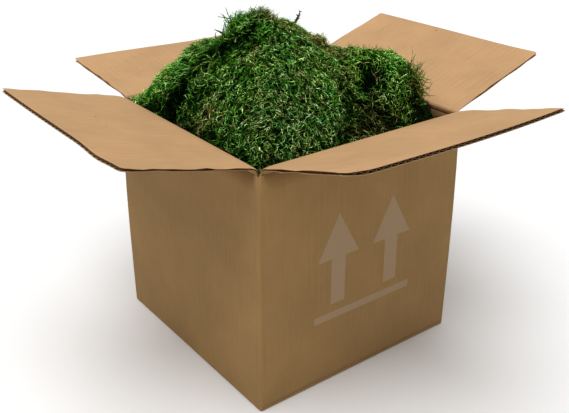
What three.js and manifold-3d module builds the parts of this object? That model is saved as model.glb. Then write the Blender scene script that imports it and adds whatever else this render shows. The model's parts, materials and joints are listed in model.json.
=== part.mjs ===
// Preserved sheet moss heaped in an open corrugated carton.
// Millimetres, +Z up. The origin is the middle of the carton's underside.
// -Y is the carton's front wall and +X its right wall; the moss rises highest near the middle.

import * as THREE from 'three';
import { mergeVertices } from 'three/addons/utils/BufferGeometryUtils.js';
import Module from 'manifold-3d';

const wasm = await Module();
wasm.setup();

// Driving dimensions of the carton
const SIDE = 262; // outside width, depth and height of the cube
const BOARD = 4; // corrugated board
const FLAP_LENGTH = SIDE / 2; // the top flaps meet in the middle when closed
const SLOT = 9; // cut between two neighbouring flaps
const CREASE_GAP = 0.3; // from a fold line to the flap's first edge
const FOLD_OUTSET = 0.2; // fold line outside the wall's outer face
const LAP_WIDTH = 35; // glued lap inside the back left corner
const SEAM_OFFSET = 3; // the front bottom flap reaches this far past the middle

// Driving dimensions of the moss
const PACKED_LAYERS = 5; // pressed sheets below the rim
const LAYER_GAP = 0.4; // between sheets that lie on each other
const WALL_GAP = 0.5; // between the pressed sheets and the board
const HEAP_INSET = 2.5; // from the inner wall to the heaped sheets
const SHOOT_LENGTH = 16;
const SHOOT_RADIUS = 2.1;

const HALF = SIDE / 2;
const INNER = HALF - BOARD;
const FLOOR = 2 * BOARD; // two layers of bottom flaps
const LAP_FACE = -INNER + BOARD;
const HEAP_HALF = INNER - HEAP_INSET;
const DIAGONAL = INNER * Math.SQRT2;

const COLOURS = {
  board: 0xb58a5c,
  flap: 0xc9a173,
  packed: 0x3c4a22,
  lower: 0x474b24,
  centre: 0x4a7a2f,
  left: 0x4f8f2b,
  crest: 0x2f6b22,
  right: 0x5d8f2c,
};

// Seeded random numbers between 0 and 1
let seed = 20251;
function random() {
  seed = (seed * 1664525 + 1013904223) % 4294967296;
  return seed / 4294967296;
}

function between(low, high) {
  return low + (high - low) * random();
}

// Closed geometry to solid and back
function solid(geometry) {
  const bare = geometry.clone();
  bare.deleteAttribute('normal');
  bare.deleteAttribute('uv');
  const merged = mergeVertices(bare, 1e-4);
  return new wasm.Manifold(new wasm.Mesh({
    numProp: 3,
    vertProperties: new Float32Array(merged.attributes.position.array),
    triVerts: new Uint32Array(merged.index.array),
  }));
}

function geometryOf(body) {
  const mesh = body.getMesh();
  const geometry = new THREE.BufferGeometry();
  geometry.setAttribute('position', new THREE.BufferAttribute(mesh.vertProperties, 3));
  geometry.setIndex(new THREE.BufferAttribute(mesh.triVerts, 1));
  geometry.computeVertexNormals();
  return geometry;
}

function largestPiece(body) {
  const pieces = body.decompose();
  return pieces.reduce((best, piece) => (piece.volume() > best.volume() ? piece : best));
}

// A closed body between two grids of nu by nv cells, upper(u, v) above lower(u, v)
function slab(nu, nv, upper, lower) {
  const positions = [];
  const faces = [];
  const count = (nu + 1) * (nv + 1);
  for (const side of [upper, lower]) {
    for (let j = 0; j <= nv; j += 1) {
      for (let i = 0; i <= nu; i += 1) positions.push(...side(i / nu, j / nv));
    }
  }
  const at = (i, j) => j * (nu + 1) + i;
  const quad = (a, b, c, d) => faces.push(a, b, c, a, c, d);
  for (let j = 0; j < nv; j += 1) {
    for (let i = 0; i < nu; i += 1) {
      quad(at(i, j), at(i + 1, j), at(i + 1, j + 1), at(i, j + 1));
      faces.push(count + at(i, j), count + at(i + 1, j + 1), count + at(i + 1, j));
      faces.push(count + at(i, j), count + at(i, j + 1), count + at(i + 1, j + 1));
    }
  }
  for (let i = 0; i < nu; i += 1) {
    quad(at(i + 1, 0), at(i, 0), count + at(i, 0), count + at(i + 1, 0));
    quad(at(i, nv), at(i + 1, nv), count + at(i + 1, nv), count + at(i, nv));
  }
  for (let j = 0; j < nv; j += 1) {
    quad(at(0, j), at(0, j + 1), count + at(0, j + 1), count + at(0, j));
    quad(at(nu, j + 1), at(nu, j), count + at(nu, j), count + at(nu, j + 1));
  }
  const geometry = new THREE.BufferGeometry();
  geometry.setAttribute('position', new THREE.Float32BufferAttribute(positions, 3));
  geometry.setIndex(faces);
  return geometry;
}

function box(low, high) {
  const size = high.map((value, axis) => value - low[axis]);
  const geometry = new THREE.BoxGeometry(...size);
  geometry.translate(...high.map((value, axis) => (value + low[axis]) / 2));
  return solid(geometry);
}

function prism(shape, low, high, curveSegments = 4) {
  const geometry = new THREE.ExtrudeGeometry(shape, {
    depth: high - low, bevelEnabled: false, curveSegments,
  });
  geometry.translate(0, 0, low);
  return solid(geometry);
}

// Carton: walls, bottom flaps and glued lap, all cut from one sheet of board
function roundedSquare(half, radius) {
  const shape = new THREE.Shape();
  const straight = half - radius;
  shape.absarc(straight, straight, radius, 0, Math.PI / 2);
  shape.absarc(-straight, straight, radius, Math.PI / 2, Math.PI);
  shape.absarc(-straight, -straight, radius, Math.PI, Math.PI * 1.5);
  shape.absarc(straight, -straight, radius, Math.PI * 1.5, Math.PI * 2);
  return shape;
}

// A V-shaped cutter along the line from a to b, open towards the unit vector out
function vCut(a, b, out, depth, width) {
  const mouth = (width / 2) * (1 + 1 / depth);
  const shape = new THREE.Shape([[-depth, 0], [1, -mouth], [1, mouth]]
    .map(([x, y]) => new THREE.Vector2(x, y)));
  const along = new THREE.Vector3().subVectors(b, a);
  const geometry = new THREE.ExtrudeGeometry(shape, { depth: along.length(), bevelEnabled: false });
  along.normalize();
  const frame = new THREE.Matrix4().makeBasis(out, new THREE.Vector3().crossVectors(along, out), along);
  geometry.applyMatrix4(frame.setPosition(a));
  return solid(geometry);
}

function cartonBody() {
  const CORNER_RADIUS = 4;
  const INNER_RADIUS = 1.5;
  const SEAM = 1;
  const NOTCH_DEPTH = 6;
  const NOTCH_WIDTH = 7;
  const NOTCH_REACH = 8;
  const BEND_GROOVE = 2;
  const CUT_SLOT = 0.8;
  const LAP_TOP_DROP = 6;
  const UNCUT = 0.5; // board left whole under a seam
  const rim = SIDE - FOLD_OUTSET;
  let body = prism(roundedSquare(HALF, CORNER_RADIUS), 0, rim);
  body = body.subtract(prism(roundedSquare(INNER, INNER_RADIUS), FLOOR, SIDE + 1));
  // glued lap, and the raw edge of the left wall beside it
  body = body.add(box(
    [-INNER - 1, INNER - LAP_WIDTH, FLOOR - 1],
    [LAP_FACE, INNER + 1, rim - LAP_TOP_DROP],
  ));
  body = body.subtract(box([-HALF - 1, INNER - CUT_SLOT, FLOOR + 2], [-INNER, INNER, SIDE + 1]));
  // seams between the bottom flaps
  body = body.subtract(box(
    [-HALF - 1, SEAM_OFFSET - SEAM / 2, -1],
    [HALF + 1, SEAM_OFFSET + SEAM / 2, BOARD - UNCUT],
  ));
  body = body.subtract(box(
    [-SEAM / 2, -INNER + 1, BOARD + UNCUT],
    [SEAM / 2, INNER - 1, FLOOR + 1],
  ));
  // groove where the side walls bend in above the outer bottom flaps
  for (const side of [-1, 1]) {
    const out = new THREE.Vector3(side, 0, 0);
    const a = new THREE.Vector3(side * HALF, -HALF - 1, BOARD);
    const b = new THREE.Vector3(side * HALF, HALF + 1, BOARD);
    body = body.subtract(vCut(a, b, out, BEND_GROOVE, BEND_GROOVE));
  }
  // notches pinched into the rim where two flaps part
  for (const [sx, sy] of [[1, 1], [-1, 1], [-1, -1], [1, -1]]) {
    const inner = new THREE.Vector3(sx * (HALF - NOTCH_REACH), sy * (HALF - NOTCH_REACH), rim);
    const outer = new THREE.Vector3(sx * (HALF + 1), sy * (HALF + 1), rim);
    body = body.subtract(vCut(inner, outer, new THREE.Vector3(0, 0, 1), NOTCH_DEPTH, NOTCH_WIDTH));
  }
  return largestPiece(body);
}

// Top flaps. Local frame: x along the fold, y outwards from it, z up through the board.
// sag is how far the free edge bows down, and bowAt where along it, from 0 to 1.
const FLAPS = [
  { name: 'flap_front', turn: 0, open: 13.9, sag: 2.5, bowAt: 0.85 },
  { name: 'flap_right', turn: 90, open: 16.9, sag: 2.3, bowAt: 0.42 },
  { name: 'flap_back', turn: 180, open: 18.4, sag: 1, bowAt: 0.8 },
  { name: 'flap_left', turn: 270, open: 5.4, sag: 3.4, bowAt: 0.7 },
];

function flapGeometry({ sag, bowAt }) {
  const ACROSS = 10;
  const ALONG = 4;
  const width = SIDE - SLOT;
  const length = FLAP_LENGTH - CREASE_GAP;
  const skew = Math.log(0.5) / Math.log(bowAt);
  const bow = (u, v) => -sag * Math.sin(Math.PI * u ** skew) * v ** 1.6;
  const point = (lift) => (u, v) => [
    (u - 0.5) * width, CREASE_GAP + v * length, bow(u, v) + lift,
  ];
  return slab(ACROSS, ALONG, point(BOARD), point(0));
}

function flapMesh(flap) {
  const mesh = new THREE.Mesh(flapGeometry(flap), boardMaterial(COLOURS.flap));
  mesh.name = flap.name;
  mesh.position.set(0, HALF + FOLD_OUTSET, SIDE);
  mesh.rotation.x = THREE.MathUtils.degToRad(flap.open);
  const side = new THREE.Group();
  side.rotation.z = THREE.MathUtils.degToRad(flap.turn + 180);
  side.add(mesh);
  return side;
}

// Shape of the heap. l runs from the left corner to the right one, d from front to back.
const lOf = (x, y) => (x + y) / Math.SQRT2;
const dOf = (x, y) => (y - x) / Math.SQRT2;

// Height of a ridge line at l, smooth through its points
function along(points, l) {
  const last = points.length - 1;
  if (l <= points[0][0]) return points[0][1];
  if (l >= points[last][0]) return points[last][1];
  const k = points.findIndex((point) => point[0] > l);
  const [l0, z0] = points[k - 1];
  const [l1, z1] = points[k];
  const t = (l - l0) / (l1 - l0);
  const slope = (i) => {
    const a = points[Math.max(i - 1, 0)];
    const b = points[Math.min(i + 1, last)];
    return (b[1] - a[1]) / (b[0] - a[0]);
  };
  const run = l1 - l0;
  const t2 = t * t;
  const t3 = t2 * t;
  return (2 * t3 - 3 * t2 + 1) * z0 + (t3 - 2 * t2 + t) * run * slope(k - 1)
    + (3 * t2 - 2 * t3) * z1 + (t3 - t2) * run * slope(k);
}

const HEAP_RIDGE = [
  [-180, 254], [-160, 262], [-148, 279], [-134, 295], [-118, 308], [-83, 328],
  [-45, 344], [-20, 352], [-4, 350], [14, 340], [40, 324], [62, 308], [90, 290], [180, 256],
];
const MOUND_RIDGE = [
  [-180, 248], [-150, 258], [-118, 284], [-83, 306], [-20, 328], [14, 318],
  [40, 304], [62, 290], [110, 282], [140, 268], [180, 250],
];
const HEAP_EDGE = 256; // height of the heaped sheets at the walls
const MOUND_EDGE = 250; // and of the mound of moss below them

function dome(ridge, edge, x, y) {
  const FALL = 1.7;
  const l = lOf(x, y);
  const reach = Math.max(DIAGONAL - Math.abs(l), 1);
  const out = Math.min(Math.abs(dOf(x, y)) / reach, 1);
  return edge + (along(ridge, l) - edge) * (1 - out ** FALL);
}

// A soft swell or, with a negative rise, a hollow
function bump(x, y, { cx, cy, radius, rise }) {
  return rise * Math.exp(-((x - cx) ** 2 + (y - cy) ** 2) / (2 * radius * radius));
}

// The hollow beside the left sheet goes down to the pressed moss
const HOLLOW = { cx: -58, cy: -108, radius: 17, rise: -18 };
function moundTop(x, y) {
  return dome(MOUND_RIDGE, MOUND_EDGE, x, y) + bump(x, y, HOLLOW);
}

const SWELL = { cx: 40, cy: -60, radius: 30, rise: 4 };
const DIP = { cx: -8, cy: -96, radius: 16, rise: -4 };
function heapTop(x, y) {
  return dome(HEAP_RIDGE, HEAP_EDGE, x, y) + bump(x, y, SWELL) + bump(x, y, DIP);
}

// A rolled sheet with steep sides and a hollow under its front edge
const ROLL = { x: 57, y: 69, half: 56, base: 264, rise: 55 };
const ROLL_HOLLOW = { cx: 78, cy: 46, radius: 12, rise: -26 };
function rollTop(x, y) {
  const STEEP = 4.5;
  const out = Math.min(Math.hypot(x - ROLL.x, y - ROLL.y) / ROLL.half, 1);
  return ROLL.base + ROLL.rise * (1 - out ** STEEP) + bump(x, y, ROLL_HOLLOW);
}

const CREST = { x: -6, y: -46, along: 33, across: 23, rise: 14 };
function crestTop(x, y) {
  const a = lOf(x - CREST.x, y - CREST.y) / CREST.along;
  const b = dOf(x - CREST.x, y - CREST.y) / CREST.across;
  return heapTop(x, y) + CREST.rise * Math.max(1 - (a * a + b * b) ** 1.2, 0);
}

// A value from 0 to 1 that belongs to the grid point i, j
function hash(i, j, k) {
  const value = Math.sin(i * 127.1 + j * 311.7 + k * 74.7) * 43758.5453;
  return value - Math.floor(value);
}

// The heaped sheets, uppermost first. Each has the surface it ends at, the one it rests on, the
// roughness of its face, the way its shoots are combed and lean from the surface in degrees, and
// its outline seen from above.
const SHEETS = [
  {
    name: 'moss_sheet_crest',
    colour: COLOURS.crest,
    top: crestTop,
    rests: heapTop,
    rough: 5,
    shoots: 75,
    comb: [-0.9, -0.35],
    lean: [15, 60],
    outline: [
      [-27, -64], [-8, -72], [10, -66], [24, -46], [24, -26], [8, -18], [-12, -22], [-28, -42],
    ],
  },
  {
    name: 'moss_sheet_left',
    colour: COLOURS.left,
    top: heapTop,
    rests: (x, y) => moundTop(x, y) + 3,
    rough: 4,
    shoots: 95,
    comb: [-0.75, -0.65],
    lean: [60, 78],
    outline: [
      [-122, -122], [-92, -122], [-74, -113], [-54, -111], [-43, -93], [-26, -80], [-6, -72],
      [0, -50], [-20, -20], [-50, 2], [-86, -14], [-112, -48], [-122, -86],
    ],
  },
  {
    name: 'moss_sheet_right',
    colour: COLOURS.right,
    top: rollTop,
    rests: moundTop,
    rough: 6,
    shoots: 90,
    comb: [0.5, 0.2],
    lean: [35, 75],
    outline: [
      [20, 56], [44, 32], [76, 26], [102, 42], [114, 70], [111, 102], [92, 120], [56, 122],
      [24, 106], [12, 80],
    ],
  },
  {
    name: 'moss_sheet_centre',
    colour: COLOURS.centre,
    top: heapTop,
    rests: moundTop,
    rough: 6,
    shoots: 310,
    comb: [0.1, -0.1],
    lean: [40, 75],
    outline: [
      [-34, -118], [0, -119], [60, -119], [108, -120], [120, -108], [119, -60], [120, -38],
      [106, -18], [88, 0], [66, 14], [52, 40], [30, 66], [4, 96], [-34, 116], [-84, 112],
      [-112, 78], [-116, 20], [-102, -36], [-60, -60], [-46, -92],
    ],
  },
];

function outlineOf(sheet, grow = 0) {
  const STEPS = 4;
  const points = sheet.outline.map(([x, y]) => new THREE.Vector3(x, y, 0));
  const curve = new THREE.CatmullRomCurve3(points, true, 'centripetal');
  const ring = curve.getPoints(points.length * STEPS).slice(0, -1);
  const limit = HEAP_HALF;
  return ring.map((point, k) => {
    const before = ring[(k + ring.length - 1) % ring.length];
    const after = ring[(k + 1) % ring.length];
    const tangent = after.clone().sub(before).normalize();
    const x = THREE.MathUtils.clamp(point.x, -limit, limit) + tangent.y * grow;
    const y = THREE.MathUtils.clamp(point.y, -limit, limit) - tangent.x * grow;
    return new THREE.Vector2(x, y);
  });
}

function inside(ring, x, y) {
  let odd = false;
  for (let k = 0, m = ring.length - 1; k < ring.length; m = k, k += 1) {
    const a = ring[k];
    const b = ring[m];
    if ((a.y > y) !== (b.y > y) && x < ((b.x - a.x) * (y - a.y)) / (b.y - a.y) + a.x) odd = !odd;
  }
  return odd;
}

// The space below a sheet's rough upper face: tufts as jittered points of a grid
function below(sheet, cells) {
  const BASE = 100;
  const JITTER = 0.7;
  const half = INNER + BOARD;
  const pitch = (2 * half) / cells;
  const place = (t, share) => (t - 0.5) * 2 * half + (share - 0.5) * JITTER * pitch;
  const point = (u, v) => {
    const i = Math.round(u * cells);
    const j = Math.round(v * cells);
    const x = place(u, hash(i, j, 1));
    const y = place(v, hash(i, j, 2));
    return [x, y, sheet.top(x, y) + (hash(i, j, 3) - 0.5) * sheet.rough];
  };
  return solid(slab(cells, cells, point, (u, v) => [...point(u, v).slice(0, 2), BASE]));
}

// The space above a smooth surface given by height(x, y)
function above(height, cells) {
  const CEILING = 420;
  const half = INNER + BOARD;
  const place = (t) => (t - 0.5) * 2 * half;
  return solid(slab(cells, cells,
    (u, v) => [place(u), place(v), CEILING],
    (u, v) => [place(u), place(v), height(place(u), place(v))]));
}

const FINE_CELLS = 29; // grid of a sheet's upper face
const COARSE_CELLS = 12; // grid of a sheet's underside
const SHEET_LOW = 200;
const SHEET_HIGH = 415;

// Each sheet has sunk a little into the tufts of what it lies on
const SETTLED = 4;
function underside(sheet) {
  return (x, y) => sheet.rests(x, y) - SETTLED;
}

// The room that a sheet takes from the ones below it
function roomFor(sheet) {
  const low = underside(sheet);
  return prism(new THREE.Shape(outlineOf(sheet, LAYER_GAP)), SHEET_LOW, SHEET_HIGH)
    .intersect(above((x, y) => low(x, y) - LAYER_GAP, COARSE_CELLS));
}

// A shoot: three sides and a point, with its root sunk in the sheet
function shootGeometry(root, tip, radius) {
  const axis = new THREE.Vector3().subVectors(tip, root).normalize();
  const side = new THREE.Vector3(axis.y, -axis.x, 0.01).cross(axis).normalize();
  const other = new THREE.Vector3().crossVectors(axis, side);
  const positions = [];
  for (const angle of [0, 1, 2].map((k) => (k / 3) * Math.PI * 2)) {
    const point = root.clone()
      .addScaledVector(side, Math.cos(angle) * radius)
      .addScaledVector(other, Math.sin(angle) * radius);
    positions.push(...point.toArray());
  }
  positions.push(...tip.toArray());
  const geometry = new THREE.BufferGeometry();
  geometry.setAttribute('position', new THREE.Float32BufferAttribute(positions, 3));
  geometry.setIndex([0, 2, 1, 0, 1, 3, 1, 2, 3, 2, 0, 3]);
  return geometry;
}

const grown = []; // every shoot placed so far: its node, ends and radius

function segmentGap(p, q) {
  const STEPS = 6;
  const line = new THREE.Line3(q.root, q.tip);
  let gap = Infinity;
  for (let i = 0; i <= STEPS; i += 1) {
    const point = p.root.clone().lerp(p.tip, i / STEPS);
    const near = line.closestPointToPoint(point, true, new THREE.Vector3());
    gap = Math.min(gap, near.distanceTo(point));
  }
  return gap;
}

// A shoot may stand over the neighbouring sheets but not in them
function clearOf(shoot, neighbours) {
  const limit = HEAP_HALF - SHOOT_RADIUS / 2;
  for (const point of [shoot.root, shoot.tip]) {
    if (Math.abs(point.x) > limit || Math.abs(point.y) > limit) return false;
  }
  const stretched = shoot.tip.clone().sub(shoot.root).setLength(2 * LAYER_GAP);
  const room = solid(shootGeometry(
    shoot.root.clone().sub(stretched), shoot.tip.clone().add(stretched), shoot.radius + LAYER_GAP,
  ));
  return neighbours.every((neighbour) => neighbour.intersect(room).isEmpty())
    && grown.every((other) => other.node === shoot.node
      || segmentGap(shoot, other) > shoot.radius + other.radius + LAYER_GAP);
}

function shootsFor(sheet, ring, neighbours) {
  const shoots = [];
  const xs = ring.map((point) => point.x);
  const ys = ring.map((point) => point.y);
  const SINK = 4.5;
  const NEAR = 3;
  const TRIES_EACH = 12;
  let tries = sheet.shoots * TRIES_EACH;
  while (shoots.length < sheet.shoots && tries > 0) {
    tries -= 1;
    const x = between(Math.min(...xs), Math.max(...xs));
    const y = between(Math.min(...ys), Math.max(...ys));
    const turn = between(0, Math.PI * 2);
    const lean = THREE.MathUtils.degToRad(between(...sheet.lean));
    const length = SHOOT_LENGTH * between(0.75, 1.25);
    const radius = SHOOT_RADIUS * between(0.8, 1.1);
    if (!inside(ring, x, y)) continue;
    const normal = new THREE.Vector3(
      sheet.top(x - NEAR, y) - sheet.top(x + NEAR, y),
      sheet.top(x, y - NEAR) - sheet.top(x, y + NEAR),
      2 * NEAR,
    ).normalize();
    const flow = new THREE.Vector3(...sheet.comb, 0).multiplyScalar(2);
    flow.add(new THREE.Vector3(Math.cos(turn), Math.sin(turn), 0));
    flow.addScaledVector(normal, -flow.dot(normal)).normalize();
    const out = normal.clone().multiplyScalar(Math.cos(lean)).addScaledVector(flow, Math.sin(lean));
    const seat = new THREE.Vector3(x, y, sheet.top(x, y));
    const shoot = {
      node: sheet.name,
      radius,
      root: seat.clone().addScaledVector(normal, -SINK),
      tip: seat.clone().addScaledVector(out, length),
    };
    if (!clearOf(shoot, neighbours)) continue;
    grown.push(shoot);
    shoots.push(solid(shootGeometry(shoot.root, shoot.tip, radius)));
  }
  return shoots;
}

// The pressed sheets fill the carton below the heap, each on the same grid as its neighbours
const PACKED_CELLS = 6;
const PACKED_HALF = INNER - WALL_GAP;

const WAVE = 3; // how far a pressed sheet's face waves up and down
const WAVE_RUN = 39;

function packedFace(k) {
  const share = k / (PACKED_LAYERS + 1);
  return (x, y) => {
    const wave = WAVE * Math.sin(x / WAVE_RUN + 2 * k) * Math.cos(y / WAVE_RUN - k);
    const rise = moundTop(x, y) - FLOOR;
    return k === 0 ? FLOOR + LAYER_GAP : FLOOR + rise * share + wave;
  };
}

function lapRoom() {
  return box([-HALF, INNER - LAP_WIDTH - WALL_GAP, 0], [LAP_FACE + WALL_GAP, HALF, SIDE]);
}

function packedSheet(k) {
  const place = (t) => (t - 0.5) * 2 * PACKED_HALF;
  const face = (height, shift) => (u, v) => [place(u), place(v), height(place(u), place(v)) + shift];
  const body = solid(slab(PACKED_CELLS, PACKED_CELLS,
    face(packedFace(k), -LAYER_GAP / 2),
    face(packedFace(k - 1), k === 1 ? 0 : LAYER_GAP / 2)));
  return body.subtract(lapRoom());
}

const LOWER = {
  name: 'moss_sheet_lower',
  colour: COLOURS.lower,
  top: moundTop,
  rough: 6,
  shoots: 70,
  comb: [0, 0],
  lean: [45, 80],
};

function square(half) {
  return [[-1, -1], [1, -1], [1, 1], [-1, 1]].map(([x, y]) => new THREE.Vector2(x * half, y * half));
}

// The uppermost pressed sheet shows in the hollow and along the walls
function lowerSheet() {
  const CELLS = 22;
  const last = packedFace(PACKED_LAYERS);
  const place = (t) => (t - 0.5) * 2 * PACKED_HALF;
  const under = solid(slab(PACKED_CELLS, PACKED_CELLS,
    (u, v) => [place(u), place(v), last(place(u), place(v)) + LAYER_GAP / 2],
    (u, v) => [place(u), place(v), 0]));
  const body = below(LOWER, CELLS)
    .intersect(prism(new THREE.Shape(square(PACKED_HALF)), FLOOR, SHEET_HIGH))
    .subtract(under)
    .subtract(lapRoom());
  return largestPiece(SHEETS.reduce((rest, sheet) => rest.subtract(roomFor(sheet)), body));
}

function heapedSheet(sheet, k) {
  const body = below(sheet, FINE_CELLS)
    .intersect(prism(new THREE.Shape(outlineOf(sheet)), SHEET_LOW, SHEET_HIGH))
    .intersect(above(underside(sheet), COARSE_CELLS));
  const uppers = SHEETS.slice(0, k);
  return largestPiece(uppers.reduce((rest, upper) => rest.subtract(roomFor(upper)), body));
}

// Every sheet that shows, with its shoots grown clear of the others
function shownSheets() {
  const EDGE_INSET = 4;
  const bare = SHEETS.map((sheet, k) => ({
    sheet,
    body: heapedSheet(sheet, k),
    ring: outlineOf(sheet, -EDGE_INSET),
  }));
  bare.push({ sheet: LOWER, body: lowerSheet(), ring: square(HEAP_HALF) });
  return bare.map(({ sheet, body, ring }) => {
    const neighbours = bare.filter((other) => other.sheet !== sheet).map((other) => other.body);
    const shoots = shootsFor(sheet, ring, neighbours);
    return [sheet, largestPiece(wasm.Manifold.union([body, ...shoots]))];
  });
}

// Materials
function boardMaterial(color) {
  return new THREE.MeshStandardMaterial({ color, roughness: 0.85, metalness: 0 });
}

function mossMaterial(color) {
  return new THREE.MeshStandardMaterial({ color, roughness: 0.95, metalness: 0, flatShading: true });
}

function named(name, body, material) {
  const mesh = new THREE.Mesh(geometryOf(body), material);
  mesh.name = name;
  return mesh;
}

const part = new THREE.Group();
part.add(named('carton_body', cartonBody(), boardMaterial(COLOURS.board)));
for (const flap of FLAPS) part.add(flapMesh(flap));
for (let k = 1; k <= PACKED_LAYERS; k += 1) {
  part.add(named(`moss_packed_${k}`, packedSheet(k), mossMaterial(COLOURS.packed)));
}
for (const [sheet, body] of shownSheets()) {
  part.add(named(sheet.name, body, mossMaterial(sheet.colour)));
}

export default part;
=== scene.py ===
import json
import math
from functools import partial, reduce

import bmesh
import bpy
import numpy as np
from bpy.props import FloatProperty, FloatVectorProperty, IntProperty, PointerProperty
from mathutils import Matrix, Vector
from mathutils.bvhtree import BVHTree


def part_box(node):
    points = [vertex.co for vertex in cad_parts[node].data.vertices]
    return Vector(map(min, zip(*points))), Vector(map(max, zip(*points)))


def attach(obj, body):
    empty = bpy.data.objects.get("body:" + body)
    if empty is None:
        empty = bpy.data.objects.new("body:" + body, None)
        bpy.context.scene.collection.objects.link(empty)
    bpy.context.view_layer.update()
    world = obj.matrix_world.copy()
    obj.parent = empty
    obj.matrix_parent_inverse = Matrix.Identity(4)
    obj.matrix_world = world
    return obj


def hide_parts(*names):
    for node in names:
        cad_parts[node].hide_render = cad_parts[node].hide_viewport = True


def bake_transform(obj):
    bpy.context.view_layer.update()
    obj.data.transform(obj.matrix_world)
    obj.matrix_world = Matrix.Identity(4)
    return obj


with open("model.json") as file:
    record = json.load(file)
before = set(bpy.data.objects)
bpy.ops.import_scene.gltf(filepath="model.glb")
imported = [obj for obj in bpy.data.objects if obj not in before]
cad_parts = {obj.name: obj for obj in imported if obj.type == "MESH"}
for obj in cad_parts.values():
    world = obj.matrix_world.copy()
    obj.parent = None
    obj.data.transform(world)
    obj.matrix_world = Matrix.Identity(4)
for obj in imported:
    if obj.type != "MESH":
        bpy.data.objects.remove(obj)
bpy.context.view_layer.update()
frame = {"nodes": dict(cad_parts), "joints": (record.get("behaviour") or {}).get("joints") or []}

bl_info = {
    "name": "Open Carton of Sheet Moss",
    "version": (1, 0, 0),
    "blender": (4, 5, 0),
    "location": "View3D > Sidebar > Moss Carton",
    "description": "Dresses an open corrugated carton heaped with preserved sheet moss",
    "category": "Object",
}

# Places that come from the frame, in metres
CARTON_LOW, CARTON_HIGH = (Vector(corner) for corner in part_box("carton_body"))
HINGE = {joint["child"]: Vector(joint["pos_m"]) for joint in frame["joints"]}
SIDE = CARTON_HIGH.x - CARTON_LOW.x
HALF = SIDE / 2
RIM = HINGE["front_flap"].z
FOLD_OUTSET = -HINGE["front_flap"].y - HALF

# Flaps: body, quarter turns, rest angle above level, sag of the free edge and where it is
# deepest, rounding of the free edge's two corners, dip beside the first of them, how far its far
# corner is drawn out along the fold and away from it
FLAPS = {
    "flap_front": ("front_flap", 0, 13.9, 0.0008, 0.60, (0.006, 0.0008), 0.0022, (0.004, 0.002)),
    "flap_right": ("right_flap", 1, 16.9, 0.0023, 0.42, (0.002, 0.018), 0.0, (0.0, 0.0)),
    "flap_back": ("back_flap", 2, 18.4, 0.001, 0.8, (0.002, 0.002), 0.0, (0.0, 0.0)),
    "flap_left": ("left_flap", 3, 5.4, 0.0034, 0.7, (0.002, 0.002), 0.0, (0.0, 0.0)),
}
# Scuffs on the flaps: place along the fold and out from it, quarter turns, turn of the scuff,
# half its length and width, strength
SCUFFS = (
    (0.0290, 0.0780, 0, 0.3, 0.0030, 0.0006, 0.60),
    (0.0210, 0.0800, 0, 0.6, 0.0014, 0.0005, 0.50),
    (0.0137, 0.0830, 0, 0.2, 0.0026, 0.0006, 0.45),
    (0.0040, 0.0790, 0, 0.9, 0.0022, 0.0005, 0.50),
    (-0.0034, 0.0821, 0, 1.1, 0.0020, 0.0006, 0.60),
    (0.0100, 0.0880, 0, 0.1, 0.0030, 0.0004, 0.35),
    (-0.0185, 0.1233, 2, 0.0, 0.0014, 0.0011, 0.75),
)
PACKED = [name for name in frame["nodes"] if name.startswith("moss_packed")]
# What each strand's points say to its material; shade is painted shade, tint sets painted
# brightness
MARKS = ("along", "tint", "shade", "olive", "grey")
# Strands with a tint over this one are dry
LIVE_TINT = 0.92


# Settings


def number(name, description, default, **how):
    return FloatProperty(name=name, description=description, default=default, **how)


def size(name, description, default):
    return number(name, description, default, unit="LENGTH")


def triple(name, description, default, subtype, **how):
    return FloatVectorProperty(
        name=name, description=description, default=default, size=3, subtype=subtype, **how)


def colour(name, description, default):
    return triple(name, description, default, "COLOR", min=0, max=1)


class CartonSettings(bpy.types.PropertyGroup):
    board: size("Board", "Thickness of the corrugated board", 0.004)
    liner: size("Liner", "Thickness of each paper liner", 0.00045)
    medium: size("Medium", "Thickness of the fluted paper", 0.0003)
    flute_pitch: size("Flute pitch", "Distance from one flute to the next", 0.0076)
    washboard: size("Washboard", "How deep the liner sinks between two flutes", 0.00007)
    flap_length: size("Flap length", "From the fold to the free edge", SIDE / 2)
    strip: size("Strip", "How far each flap's board reaches down its wall", 0.004)
    slot: size("Slot", "Width of the cut between two flaps", 0.0076)
    swell: size("Swell", "How far the moss pushes the walls out at the foot", 0.0035)
    outside_colour: colour("Outside", "Colour of the outer liner", (0.300, 0.177, 0.066))
    inside_colour: colour("Inside", "Colour of the inner liner", (0.522, 0.310, 0.150))
    ink_colour: colour("Ink", "Colour of the printed arrows", (0.345, 0.238, 0.138))


class MossSettings(bpy.types.PropertyGroup):
    strands: IntProperty(
        name="Strands", description="Strands on all the sheets that show",
        default=40500, min=100)
    length: size("Length", "Mean length of a strand", 0.0080)
    radius: size("Radius", "Mean radius of a strand at its root", 0.00030)
    depth: size("Thatch depth", "How far the dark core lies below the strands", 0.0055)
    fresh_colour: colour("Fresh", "Colour of the bright green tips", (0.166, 0.395, 0.049))
    mid_colour: colour("Mid", "Colour of the mid green strands", (0.097, 0.328, 0.026))
    deep_colour: colour("Deep", "Colour of the deep green fronds", (0.064, 0.290, 0.019))
    olive_colour: colour("Olive", "Colour of olive and brown strands", (0.270, 0.248, 0.050))
    dry_colour: colour("Dry", "Colour of dry, tan strands", (0.270, 0.270, 0.110))
    # the core colour is near black: partly the dark thatch, partly painted shade between the
    # strands; strands darken to it at their roots
    core_colour: colour("Core", "Colour of the thatch below the strands", (0.003, 0.008, 0.001))


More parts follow.
